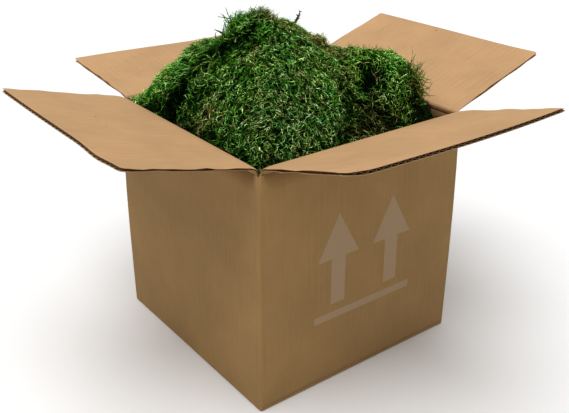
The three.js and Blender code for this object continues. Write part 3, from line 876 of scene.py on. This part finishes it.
# Places beside the taller sheets where shade is painted onto the strands: x, y, radius, how
# strongly
SHADED = (
    (0.108, 0.100, 0.022, 1.0), (0.084, 0.120, 0.016, 0.7), (0.114, 0.050, 0.018, 0.25),
    (-0.014, -0.108, 0.018, 0.40), (0.085, 0.045, 0.016, 0.25), (0.100, 0.020, 0.020, 0.2),
)
# Rises and dips of the sheets over the smoothed solids: x, y, radius, rise
RISES = (
    (-0.118, -0.114, 0.012, 0.004), (-0.098, -0.106, 0.014, -0.002),
    (-0.092, -0.086, 0.014, -0.002), (-0.072, -0.070, 0.012, 0.003),
    (-0.048, -0.045, 0.010, -0.005), (-0.020, -0.050, 0.012, 0.008),
    (-0.026, -0.058, 0.007, -0.006), (-0.006, -0.032, 0.014, 0.006),
    (0.000, -0.016, 0.012, 0.004), (-0.026, 0.014, 0.016, 0.002),
    (0.016, 0.034, 0.010, 0.009), (0.010, 0.066, 0.012, 0.008),
    (0.024, 0.064, 0.010, 0.004), (0.046, 0.068, 0.010, 0.003),
    (0.052, 0.088, 0.022, -0.002), (0.084, 0.104, 0.012, -0.002),
    (0.112, 0.084, 0.018, -0.014), (0.102, 0.116, 0.014, -0.010),
    (0.114, 0.050, 0.014, -0.005),
)
OVERALL_RISE = 0.002
# Places where the moss turns olive and brown: x, y, radius, how strongly
OLIVE_PLACES = (
    (0.000, -0.020, 0.014, 1.0), (-0.005, 0.004, 0.015, 1.0), (0.014, 0.020, 0.014, 1.0),
    (0.020, 0.038, 0.013, 1.3), (0.046, 0.068, 0.010, 0.9), (0.026, -0.058, 0.009, 0.8),
    (0.058, 0.034, 0.012, 0.9), (0.020, -0.116, 0.022, 0.5), (0.104, 0.034, 0.026, 0.9),
    (0.118, 0.094, 0.020, 0.8), (0.118, 0.010, 0.020, 0.6), (0.062, 0.074, 0.030, -1.0),
)

# Places where the green greys with age, or keeps its vivid colour: x, y, radius, how strongly
GREY_PLACES = (
    (0.105, -0.070, 0.040, 0.60), (0.095, -0.105, 0.035, 0.30), (0.120, -0.010, 0.030, 0.35),
    (0.112, 0.050, 0.024, 0.30), (0.000, -0.120, 0.030, 0.15), (0.046, -0.066, 0.030, -0.30),
    (0.006, -0.050, 0.022, -0.30), (0.050, 0.060, 0.022, -0.45), (0.072, 0.080, 0.028, -0.80),
    (-0.075, -0.080, 0.035, -0.15),
)


def blob(x, y, radius):
    """A soft round patch on the grid, 1 in its middle."""
    return np.exp(-((GRID_X - x) ** 2 + (GRID_Y - y) ** 2) / radius ** 2)


def patched(field, patches, scale=1.0):
    """The field with soft round patches added."""
    for *place, strength in patches:
        field = field + scale * strength * blob(*place)
    return field


def distance_to_line(line):
    """Distance from each place on the grid to a line through points."""
    nearest = np.full(GRID_X.shape, np.inf)
    for (ax, ay), (bx, by) in zip(line, line[1:]):
        run_x, run_y = bx - ax, by - ay
        x, y = GRID_X - ax, GRID_Y - ay
        share = np.clip((x * run_x + y * run_y) / (run_x ** 2 + run_y ** 2), 0, 1)
        nearest = np.minimum(nearest, np.hypot(x - share * run_x, y - share * run_y))
    return nearest


class Heap:
    """The heaped sheets' joint surface, and which sheet shows at each place."""

    def __init__(self, names):
        noise = partial(soft_noise, GRID_X, GRID_Y)
        tops, self.lows = zip(*(cast(name) for name in names))
        # the sheets' upper faces without their standing shoots
        self.tops = [np.where(np.isfinite(top), blurred(opened(top)), np.nan) for top in tops]
        stack = np.nan_to_num(np.array(self.tops), nan=-1.0)
        self.owner = stack.argmax(0)
        height = stack.max(0)
        height[height < 0] = np.nan
        for _ in range(3):
            height = np.where(np.isfinite(height), height, blurred(height))
        height = opened(np.nan_to_num(height, nan=np.nanmin(height)))
        upper = np.isin(self.owner, [names.index(name) for name in UPPER_SHEETS])
        lip = np.clip(1 - distance_to(~upper, 3) / 0.006, 0, 1) * upper
        filled = np.maximum(height, blurred(height, 60) - 0.005)
        shape = blurred(filled, 2) + 0.0025 * lip + OVERALL_RISE
        shape = shape + (0.0010 * noise(0.014, 3) + 0.0008 * noise(0.007, 4))
        dark = self.bare = np.zeros_like(GRID_X)
        # the gaps and hollows are sunk, get fewer strands, and add painted shade to the strands
        # there
        for width, depth, darkness, line in GAPS:
            gap = np.exp(-(distance_to_line(line) / width) ** 2)
            shape = shape - depth * gap
            dark = np.maximum(dark, darkness * gap)
            self.bare = np.maximum(self.bare, 0.5 * darkness * gap)
        for *place, depth in HOLLOWS:
            hollow = blob(*place)
            shape = shape - depth * hollow
            dark = dark + 2.0 * hollow
            self.bare = np.maximum(self.bare, 0.8 * hollow)
        self.height = patched(shape, RISES)
        self.slope_x, self.slope_y = np.gradient(self.height, STEP)
        self.steep = np.minimum(np.sqrt(1 + self.slope_x ** 2 + self.slope_y ** 2), 3.5)
        # painted shade: strands are darkened where the surface lies below its surroundings, and at
        # the gaps, hollows and shaded places
        sunk = np.clip((blurred(self.height, 20) - self.height) / 0.014, -0.25, 0.45)
        self.shade = np.clip(sunk + patched(dark, SHADED), 0, 1.2)
        mottle = 0.45 * noise(0.022, 5) + 0.45 * noise(0.009, 6) - 0.12
        self.olive = patched(mottle, OLIVE_PLACES, 1.3)
        self.grey = patched(0.36 + 0.2 * noise(0.02, 9), GREY_PLACES)


# Moss strands


def tubes(paths, radii):
    """Three-sided tapering tubes along paths (count, points, 3) that end in a point."""
    count, points = paths.shape[:2]
    ways = unit(np.diff(paths, axis=1))
    aside = unit(np.cross(ways, np.array([0.31, 0.17, 0.94])))
    other = np.cross(ways, aside)
    rings = []
    for turn in (0, math.tau / 3, 2 * math.tau / 3):
        spoke = math.cos(turn) * aside + math.sin(turn) * other
        rings.append(paths[:, :-1] + spoke * radii[:, :-1, None])
    body = np.stack(rings, 2).reshape(count, (points - 1) * 3, 3)
    vertices = np.concatenate([body, paths[:, -1:]], 1)
    faces = []
    for k in range(points - 2):
        for m in range(3):
            a, b = 3 * k + m, 3 * k + (m + 1) % 3
            faces += [(a, b, b + 3), (a, b + 3, a + 3)]
    last, tip = 3 * (points - 2), 3 * (points - 1)
    faces += [(last + m, last + (m + 1) % 3, tip) for m in range(3)] + [(0, 2, 1)]
    offsets = np.arange(count)[:, None, None] * (tip + 1)
    return vertices, np.array(faces)[None] + offsets, ways, aside


def arching_paths(draw, root, normal, flow, length, lean, curl, segments):
    """Paths that rise from the root, lean over along flow and curl sideways."""
    across = np.cross(normal, flow)
    first, last = (np.radians(draw.uniform(*band, len(root))) for band in lean)
    twist = np.radians(draw.uniform(-curl, curl, len(root)))
    bias = np.radians(draw.normal(0, curl / 2, len(root)))
    point = root
    points = [root]
    for k in range(segments):
        share = k / max(segments - 1, 1)
        tilt = first + (last - first) * share ** 0.8
        turn = bias + twist * k
        run = flow * np.cos(turn)[:, None] + across * np.sin(turn)[:, None]
        way = normal * np.cos(tilt)[:, None] + run * np.sin(tilt)[:, None]
        point = point + way * (length / segments)[:, None]
        points.append(point)
    return np.stack(points, 1)


def wandering_paths(draw, root, way, length, wander, segments):
    """Paths that start along way and turn a little, at random, at every joint."""
    points = [root]
    bend = draw.normal(0, math.radians(wander), (len(root), 3))
    for _ in range(segments):
        way = unit(way + bend + draw.normal(0, math.radians(wander) * 0.6, (len(root), 3)))
        points.append(points[-1] + way * (length / segments)[:, None])
    return np.stack(points, 1)


def side_shoots(draw, paths, ways, aside, length, radius):
    """Short pointed shoots on both sides of each path's outer joints, and their places on it."""
    count, points = paths.shape[:2]
    roots, tips, where = [], [], []
    for k in range(1, points - 1):
        for side in (-1, 1):
            slip = draw.uniform(0.0, 0.8, count)[:, None]
            start = paths[:, k] + (paths[:, k + 1] - paths[:, k]) * slip
            spread = draw.uniform(0.6, 1.2, count)[:, None] * side
            lift = draw.normal(0, 0.3, (count, 3))
            way = unit(ways[:, k] * 0.8 + aside[:, k] * spread + lift)
            reach = length * draw.uniform(0.6, 1.3, count) * (1.15 - k / points)
            roots.append(start)
            tips.append(start + way * reach[:, None])
            where.append(np.full(count, k / (points - 1)))
    pairs = np.stack([np.stack(roots, 1), np.stack(tips, 1)], 2).reshape(-1, 2, 3)
    return pairs, np.full(pairs.shape[:2], radius), np.stack(where, 1).ravel(), len(where)


def kept_inside(points):
    """Keeps strands clear of the walls: inside them below the rim, over the flaps above it."""
    wall, clearance, spread, spread_from = 0.004, 0.0007, 1.2, RIM + 0.002
    limit = CARTON_HIGH.x - wall - clearance
    limit = limit + spread * np.maximum(points[..., 2:] - spread_from, 0)
    points[..., :2] = np.clip(points[..., :2], -limit, limit)
    return points


class Growth(Gathered):
    """Strands of one piece. Each point's traits are the marks that colour them."""

    def grow(self, vertices, faces, along, marks):
        """vertices (count, n, 3) with along (count, n), and the other marks (count) each."""
        spread = [np.repeat(mark[:, None], vertices.shape[1], 1) for mark in marks]
        traits = np.stack([along, *spread], -1)
        self.take(kept_inside(vertices), traits, faces.reshape(-1, 3), 0)

    def strands(self, draw, paths, radius, marks, feathered, shoot):
        """Tubes along paths, some with side shoots. marks holds all of MARKS but along."""
        segments = paths.shape[1] - 1
        taper = 1 - 0.5 * (np.arange(segments + 1) / segments) ** 1.6
        radii = radius[:, None] * taper[None]
        vertices, faces, ways, aside = tubes(paths, radii)
        along = np.append(np.repeat(np.arange(segments) / segments, 3), 1.0)
        self.grow(vertices, faces, np.tile(along, (len(paths), 1)), marks)
        chosen = draw.random(len(paths)) < feathered
        if not chosen.any():
            return
        pairs, radii, where, each = side_shoots(
            draw, paths[chosen], ways[chosen], aside[chosen], shoot, radius.mean() * 0.7)
        vertices, faces, _, _ = tubes(pairs, radii)
        along = np.stack([where, where, where, np.minimum(where + 0.35, 1)], 1)
        # each side shoot gets its own tint, and so its own painted brightness
        tint, *others = (np.repeat(mark[chosen], each) for mark in marks)
        own = np.clip(tint + draw.normal(0.04, 0.26, len(tint)), 0, LIVE_TINT)
        tint = np.where(tint > LIVE_TINT, tint, own)
        self.grow(vertices, faces, along, (tint, *others))

    def core(self, top, low):
        """A closed body under the strands, on a coarser grid, where top is well over low."""
        x, y, top, low = (field[::2, ::2] for field in (GRID_X, GRID_Y, top, low))
        known = np.isfinite(top) & (low < top - 0.001)
        count = int(known.sum())
        index = np.full(top.shape, -1)
        index[known] = np.arange(count)
        points = np.concatenate([grid_of(x, y, z)[known] for z in (top, low)])
        corners = [index[:-1, :-1], index[1:, :-1], index[1:, 1:], index[:-1, 1:]]
        full = np.min(corners, 0) >= 0
        a, b, c, d = (corner[full] for corner in corners)
        upper = np.column_stack([a, b, c, a, c, d]).reshape(-1, 3)
        edges = upper[:, [0, 1, 1, 2, 2, 0]].reshape(-1, 2)
        rim = ~np.isin(edges @ (count, 1), edges @ (1, count))
        p, q = edges[rim].T
        sides = np.column_stack([q, p, p + count, q, p + count, q + count]).reshape(-1, 3)
        faces = np.concatenate([upper, upper[:, [0, 2, 1]] + count, sides])
        used, faces = np.unique(faces, return_inverse=True)
        plain = np.zeros((len(used), len(MARKS)))
        self.take(kept_inside(points[used]), plain, faces.reshape(-1, 3), 1)

    def build(self, name):
        piece, marks, faces = self.made(name)
        for label, values in zip(MARKS, marks.astype(np.float32).T):
            attribute = piece.data.attributes.new(label, "FLOAT", "POINT")
            attribute.data.foreach_set("value", values.copy())
        add_map(piece, "OFBake", bake_corners(len(faces)))
        return piece


def bake_corners(count):
    """Places on a map in which every two neighbouring triangles share one square."""
    across = math.ceil(math.sqrt((count + 1) // 2))
    cell = np.arange(count) // 2
    low = np.stack([cell % across, cell // across], -1)[:, None, :]
    margin = 0.12
    halves = np.array([[[0, 0], [1, 0], [1, 1]], [[0, 0], [1, 1], [0, 1]]], float)
    return (low + margin + (1 - 2 * margin) * halves[np.arange(count) % 2]) / across


# How the strands of each sheet grow: share of the strands for its area, comb direction and its
# pull, lean at the root and at the tip in degrees, curl per joint, joints, relative length, share
# with side shoots, painted shade, how many are fresh and bright (partly fresher moss, partly
# painted light that makes a sheet brighter than the lamps leave it), share of dry ones, colours
# of the strands, their tips and the olive patches
SHEETS = {
    "moss_sheet_crest": dict(
        crowd=1.1, comb=(-0.3, -0.4), pull=0.35, lean=((20, 60), (40, 90)), curl=18, joints=4,
        length=1.2, feathered=0.5, shade=0.05, fresh_and_lit=1.5, dryness=0.02,
        colours=("deep", "fresh", "olive")),
    "moss_sheet_left": dict(
        crowd=0.95, comb=(-0.62, -0.78), pull=1.6, lean=((50, 76), (80, 102)), curl=11, joints=4,
        length=1.5, feathered=0.2, shade=0.05, fresh_and_lit=1.4, dryness=0.02,
        colours=("mid", "fresh", "deep")),
    "moss_sheet_right": dict(
        crowd=0.95, comb=(0.5, 0.2), pull=0.3, lean=((50, 82), (68, 110)), curl=60, joints=3,
        length=1.1, feathered=0.08, shade=0.0, fresh_and_lit=1.65, dryness=0.03,
        colours=("mid", "fresh", "olive")),
    "moss_sheet_centre": dict(
        crowd=1.0, comb=(0.1, -0.1), pull=0.2, lean=((60, 88), (76, 112)), curl=66, joints=3,
        length=1.0, feathered=0.04, shade=0.0, fresh_and_lit=1.2, dryness=0.04,
        colours=("mid", "fresh", "olive")),
    "moss_sheet_lower": dict(
        crowd=0.9, comb=(0, 0), pull=0.1, lean=((40, 80), (60, 110)), curl=60, joints=3,
        length=1.1, feathered=0.08, shade=0.25, fresh_and_lit=1.0, dryness=0.05,
        colours=("mid", "fresh", "olive")),
}

# Loose strands: sheet, centre, spread, count, length, way, wander in degrees, radius, tint,
# shade (painted shade), olive
WISPS = (
    ("moss_sheet_right", (0.092, 0.097), 0.0035, 200, 0.021, (0.6, 0.78, 0.1), 44, 2.0,
     (0.0, 0.5), 0.45, 0.7),
    ("moss_sheet_right", (0.091, 0.092), 0.003, 9, 0.030, (0.6, 0.78, 0.1), 14, 2.0,
     (0.1, 0.6), 0.45, 0.6),
    ("moss_sheet_right", (0.090, 0.066), 0.020, 60, 0.012, (0.5, 0.3, 0.9), 30, 1.2,
     (0.2, 0.9), 0.2, 0.3),
    ("moss_sheet_crest", (-0.025, -0.055), 0.004, 24, 0.020, (-0.42, -0.55, 0.72), 12, 2.6,
     (0.1, 0.5), 0.5, 0.0),
    ("moss_sheet_crest", (-0.014, -0.042), 0.009, 70, 0.010, (-0.2, -0.25, 0.95), 30, 1.2,
     (0.3, 0.9), 0.1, 0.1),
    ("moss_sheet_crest", (-0.004, -0.034), 0.009, 26, 0.013, (0.1, 0.15, 1.0), 34, 1.0,
     (0.93, 1.0), 0.35, 0.6),
    ("moss_sheet_centre", (0.014, 0.033), 0.008, 200, 0.007, (0.3, 0.1, 0.7), 40, 1.1,
     (0.1, 0.7), 0.2, 1.0),
    ("moss_sheet_right", (0.044, 0.070), 0.010, 90, 0.009, (0.1, 0.2, 0.8), 40, 1.0,
     (0.1, 0.6), 0.3, 1.0),
    ("moss_sheet_left", (-0.070, -0.090), 0.030, 60, 0.010, (-0.6, -0.5, 0.5), 14, 1.0,
     (0.3, 0.9), 0.0, 0.0),
    ("moss_sheet_right", (0.074, 0.060), 0.004, 6, 0.020, (0.3, -0.5, -0.1), 20, 1.1,
     (0.97, 1.0), 0.1, 0.3),
    ("moss_sheet_centre", (0.060, -0.060), 0.045, 220, 0.009, (0.3, -0.4, 0.4), 40, 1.0,
     (0.90, 1.0), 0.0, 0.3),
    ("moss_sheet_lower", (0.000, -0.122), 0.050, 40, 0.010, (0.3, -0.1, 0.5), 40, 1.0,
     (0.90, 1.0), 0.2, 0.3),
)
# Twigs: sheet, place, length, way, radius
TWIGS = (
    ("moss_sheet_centre", (-0.031, 0.035), 0.0155, (0.30, 0.40, 0.86), 5.2),
    ("moss_sheet_centre", (0.105, -0.020), 0.012, (0.2, 0.5, 0.2), 1.3),
    ("moss_sheet_lower", (-0.020, -0.115), 0.020, (0.9, -0.2, 0.15), 1.2),
)


def surface_at(heap, x, y):
    """Points of the heap's surface and its normals there."""
    z, slope_x, slope_y = (
        lattice(field, x, y) for field in (heap.height, heap.slope_x, heap.slope_y))
    return np.stack([x, y, z], -1), unit(np.stack([-slope_x, -slope_y, np.ones(len(x))], -1))


def scatter(heap, draw, count, keep):
    """Random places on the heap's surface where keep is True, even over its area."""
    weight = np.where(keep, heap.steep * (1 - heap.bare), 0.0).ravel()
    cells = draw.choice(weight.size, count, p=weight / weight.sum())
    x, y = (
        np.clip(AXIS[index] + draw.uniform(-0.5, 0.5, count) * STEP, -REACH, REACH)
        for index in np.unravel_index(cells, keep.shape))
    return surface_at(heap, x, y)


def flow_over(draw, spots, normal, comb, pull):
    """The way each strand lies: combed, swirled by place, drawn downhill, with some chance."""
    chance_share, comb_share, slope_share = 2.4, 2.0, 0.7
    x, y = spots[:, 0], spots[:, 1]
    swirl = math.pi * (soft_noise(x, y, 0.022, 7) + 0.8 * soft_noise(x, y, 0.009, 8))
    chance = draw.uniform(0, math.tau, len(x))
    way = np.column_stack([
        np.cos(swirl) + chance_share * np.cos(chance),
        np.sin(swirl) + chance_share * np.sin(chance), x * 0])
    way += pull * comb_share * np.array([*comb, 0.0])
    way[:, :2] += slope_share * normal[:, :2]
    way -= normal * (way * normal).sum(1, keepdims=True)
    return unit(way)


def grow_sheet(growth, heap, name, count, keep, moss, seed):
    """Adds a sheet's strands to growth, where keep is True."""
    root_dip, sunk_share, sunk_shade, shoot_share = 0.0007, 0.85, 1.8, 0.3
    sheet = SHEETS[name]
    draw = np.random.default_rng(seed)
    spots, normal = scatter(heap, draw, count, keep)
    flow = flow_over(draw, spots, normal, sheet["comb"], sheet["pull"])
    length = moss.length * sheet["length"] * draw.uniform(0.6, 1.45, count)
    sunk = draw.random(count)
    root = spots - normal * (root_dip + moss.depth * sunk_share * sunk)[:, None]
    paths = arching_paths(
        draw, root, normal, flow, length, sheet["lean"], sheet["curl"], sheet["joints"])
    radius = moss.radius * draw.uniform(0.65, 1.25, count)
    # tint sets how fresh a strand is and how bright it is painted: the bright ones carry a painted
    # highlight
    tint = draw.random(count) ** (1 / sheet["fresh_and_lit"]) * LIVE_TINT
    tint = np.where(draw.random(count) < sheet["dryness"], draw.uniform(0.93, 1, count), tint)
    shade, olive, grey = (
        lattice(field, *spots[:, :2].T) for field in (heap.shade, heap.olive, heap.grey))
    # painted shade: strands rooted deeper in the thatch are painted darker, on top of the heap's
    # painted shade and the sheet's
    shade = np.clip(shade + sunk_shade * sunk + sheet["shade"], 0, 1.5)
    olive = np.clip(olive + draw.normal(0, 0.3, count), 0, 1)
    grey = np.clip(grey + draw.normal(0, 0.15, count), 0, 1)
    over_gap = lattice(heap.bare, *np.clip(paths[:, -1, :2], -REACH, REACH).T)
    kept = draw.random(count) > over_gap
    marks = tuple(mark[kept] for mark in (tint, shade, olive, grey))
    shoot = moss.length * shoot_share
    growth.strands(draw, paths[kept], radius[kept], marks, sheet["feathered"], shoot)


def add_wisps(growth, heap, name, moss, seed):
    """Loose strands that stand out of a sheet, and its twigs."""
    draw = np.random.default_rng(seed)
    joints, sunk = 6, 0.002
    for sheet, centre, spread, count, length, way, wander, radius, tint, shade, olive in WISPS:
        if sheet != name:
            continue
        x, y = (np.clip(draw.normal(middle, spread, count), -REACH, REACH) for middle in centre)
        spots, normal = surface_at(heap, x, y)
        lengths = length * draw.uniform(0.5, 1.3, count)
        start = unit(np.array(way) + draw.normal(0, 0.1 + wander / 60, (count, 3)))
        paths = wandering_paths(draw, spots - normal * sunk, start, lengths, wander, joints)
        radii = moss.radius * radius * draw.uniform(0.7, 1.1, count)
        even = (np.full(count, mark) for mark in (shade, olive, 0.4))
        marks = (draw.uniform(*tint, count), *even)
        growth.strands(draw, paths, radii, marks, 0.7, moss.length * 0.36)
    for sheet, place, length, way, radius in TWIGS:
        if sheet != name:
            continue
        spots, normal = surface_at(heap, *np.array(place)[:, None])
        paths = wandering_paths(
            draw, spots - normal * sunk, unit(np.array([way])), np.array([length]), 2, joints)
        marks = tuple(np.array([mark]) for mark in (0.3, 0.75, 1.0, 1.0))
        growth.strands(draw, paths, np.array([moss.radius * radius]), marks, 1.0, 0.006)


def shares_of(name, shown):
    """The shares of a sheet that are pieces of their own, so that none has too many faces."""
    if name != "moss_sheet_centre":
        return {name: shown}
    near = GRID_X * 0.80 - GRID_Y * 0.60
    low_cut, high_cut = np.quantile(near[shown], (1 / 3, 2 / 3))
    return {
        name + "_front": shown & (near >= high_cut),
        name + "_middle": shown & (near >= low_cut) & (near < high_cut),
        name + "_back": shown & (near < low_cut),
    }


def moss_pieces(moss):
    """Every sheet that shows, as one or more pieces: (piece, node)."""
    heap = Heap(list(SHEETS))
    areas = [
        sheet["crowd"] * heap.steep[heap.owner == index].sum()
        for index, sheet in enumerate(SHEETS.values())]
    made = []
    for index, name in enumerate(SHEETS):
        top, low, shown = heap.tops[index], heap.lows[index], heap.owner == index
        core_top = np.where(shown, heap.height, np.minimum(top, heap.height)) - moss.depth
        count = int(moss.strands * areas[index] / sum(areas))
        for order, (label, keep) in enumerate(shares_of(name, shown).items()):
            growth = Growth()
            if order == 0:
                growth.core(core_top, low)
                add_wisps(growth, heap, name, moss, 50 + index)
            part = int(count * keep.sum() / shown.sum())
            grow_sheet(growth, heap, name, part, keep, moss, 100 * index + order)
            made.append((growth.build(label + "_fronds"), name))
    return made


# Operators


def finish_piece(piece, materials, node):
    """Gives a piece its materials. It stands in for the node, which is hidden."""
    for material in materials:
        piece.data.materials.append(material)
    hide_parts(node)


class CARTON_OT_build_walls(bpy.types.Operator):
    """Build the carton's walls, bottom flaps and printed arrows"""
    bl_idname = "carton.build_walls"
    bl_label = "Build Walls"

    def execute(self, context):
        settings = context.scene.carton_settings
        printed = {"Middle": 0.0, "Foot": 0.078, "Size": 0.105}
        material = board_material(
            "Kraft outside", settings.outside_colour, settings, OUTSIDE_LINES, printed)
        piece = wall_piece(settings)
        finish_piece(
            piece, (material, inner_liner(settings)), "carton_body")
        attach(piece, "root")
        return {"FINISHED"}


class CARTON_OT_build_flaps(bpy.types.Operator):
    """Build the four top flaps of corrugated board, bent at their folds"""
    bl_idname = "carton.build_flaps"
    bl_label = "Build Flaps"

    def execute(self, context):
        settings = context.scene.carton_settings
        shaded = [channel * 0.22 for channel in settings.inside_colour]
        materials = (
            inner_liner(settings),
            board_material(
                "Kraft underside", settings.outside_colour, settings, OUTSIDE_LINES),
            board_material("Kraft medium", shaded, settings, 0.0),
        )
        for name in FLAPS:
            piece, body, start, end = flap_piece(name, settings)
            finish_piece(piece, materials, name)
            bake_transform(piece)
        return {"FINISHED"}


class MOSS_OT_dress_packed(bpy.types.Operator):
    """Give the pressed sheets below the rim their crumbly finish"""
    bl_idname = "moss.dress_packed"
    bl_label = "Dress Pressed Sheets"

    def execute(self, context):
        material = packed_material(context.scene.moss_settings)
        for name in PACKED:
            node = frame["nodes"][name]
            node.data.materials.clear()
            node.data.materials.append(material)
        return {"FINISHED"}


class MOSS_OT_grow_sheets(bpy.types.Operator):
    """Grow the strands of every sheet of moss that shows"""
    bl_idname = "moss.grow_sheets"
    bl_label = "Grow Sheets"

    def execute(self, context):
        moss = context.scene.moss_settings
        thatch = thatch_material(moss)
        materials = {}
        for name, sheet in SHEETS.items():
            colours = (getattr(moss, label + "_colour") for label in sheet["colours"])
            materials[name] = (moss_material(name.replace("_", " "), *colours, moss), thatch)
        for piece, node in moss_pieces(moss):
            finish_piece(piece, materials[node], node)
            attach(piece, "root")
        return {"FINISHED"}


class STUDIO_OT_set_stage(bpy.types.Operator):
    """Set the pale floor, the soft lights and the camera"""
    bl_idname = "studio.set_stage"
    bl_label = "Set Stage"

    def execute(self, context):
        scene = context.scene
        add_floor(scene.studio_settings)
        add_lights(scene, scene.studio_settings)
        add_camera(scene, scene.studio_settings)
        scene.view_settings.view_transform = "Standard"
        return {"FINISHED"}


def add_floor(studio):
    reach, drop = 9.0, 0.0002
    corners = [(x * reach, y * reach, -drop) for x, y in ((-1, -1), (1, -1), (1, 1), (-1, 1))]
    floor = new_piece("floor", np.array(corners), np.array([[0, 1, 2, 3]]))
    material, tree, shader = new_material("Pale floor")
    finish(tree, shader, solid(studio.floor_colour), 0.9, 0.1)
    floor.data.materials.append(material)


def add_lights(scene, studio):
    world = bpy.data.worlds.new("Soft surround")
    world.use_nodes = True
    tree = Tree(world.node_tree)
    seen = tree.add("LightPath").outputs["Is Camera Ray"]
    strength = tree.ramp(seen, 0.0, 1.0, studio.surround, 1.0)
    background = world.node_tree.nodes["Background"].inputs
    tree.feed(background, {"Color": (1, 1, 1, 1), "Strength": strength})
    scene.world = world
    light = bpy.data.lights.new("key", "SUN")
    light.energy = studio.key_strength
    light.angle = studio.key_spread
    lamp = bpy.data.objects.new("key", light)
    lamp.rotation_euler = Vector((-0.05, 0.22, -1)).to_track_quat("-Z", "Y").to_euler()
    scene.collection.objects.link(lamp)


def add_camera(scene, studio):
    data = bpy.data.cameras.new("camera")
    data.lens = studio.lens
    data.sensor_width = 36
    data.clip_start, data.clip_end = 0.01, 50
    camera = bpy.data.objects.new("camera", data)
    camera.location = studio.camera_place
    camera.rotation_euler = Vector(studio.camera_aim).to_track_quat("-Z", "Y").to_euler()
    scene.collection.objects.link(camera)
    scene.camera = camera


STEPS = (
    CARTON_OT_build_walls,
    CARTON_OT_build_flaps,
    MOSS_OT_dress_packed,
    MOSS_OT_grow_sheets,
    STUDIO_OT_set_stage,
)


class MOSS_PT_carton(bpy.types.Panel):
    """Steps and settings of the moss carton"""
    bl_label = "Moss Carton"
    bl_idname = "MOSS_PT_carton"
    bl_space_type = "VIEW_3D"
    bl_region_type = "UI"
    bl_category = "Moss Carton"

    def draw(self, context):
        for name, group in SETTINGS.items():
            box = self.layout.box()
            for label in group.__annotations__:
                box.prop(getattr(context.scene, name), label)
        for step in STEPS:
            self.layout.operator(step.bl_idname)


CLASSES = (CartonSettings, MossSettings, StudioSettings, *STEPS, MOSS_PT_carton)
SETTINGS = {
    "carton_settings": CartonSettings,
    "moss_settings": MossSettings,
    "studio_settings": StudioSettings,
}


def register():
    for cls in CLASSES:
        bpy.utils.register_class(cls)
    for name, group in SETTINGS.items():
        setattr(bpy.types.Scene, name, PointerProperty(type=group))


def unregister():
    for name in SETTINGS:
        delattr(bpy.types.Scene, name)
    for cls in reversed(CLASSES):
        bpy.utils.unregister_class(cls)


def main():
    register()
    bpy.ops.carton.build_walls()
    bpy.ops.carton.build_flaps()
    bpy.ops.moss.dress_packed()
    bpy.ops.moss.grow_sheets()
    bpy.ops.studio.set_stage()
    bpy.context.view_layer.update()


if __name__ == "__main__":
    main()
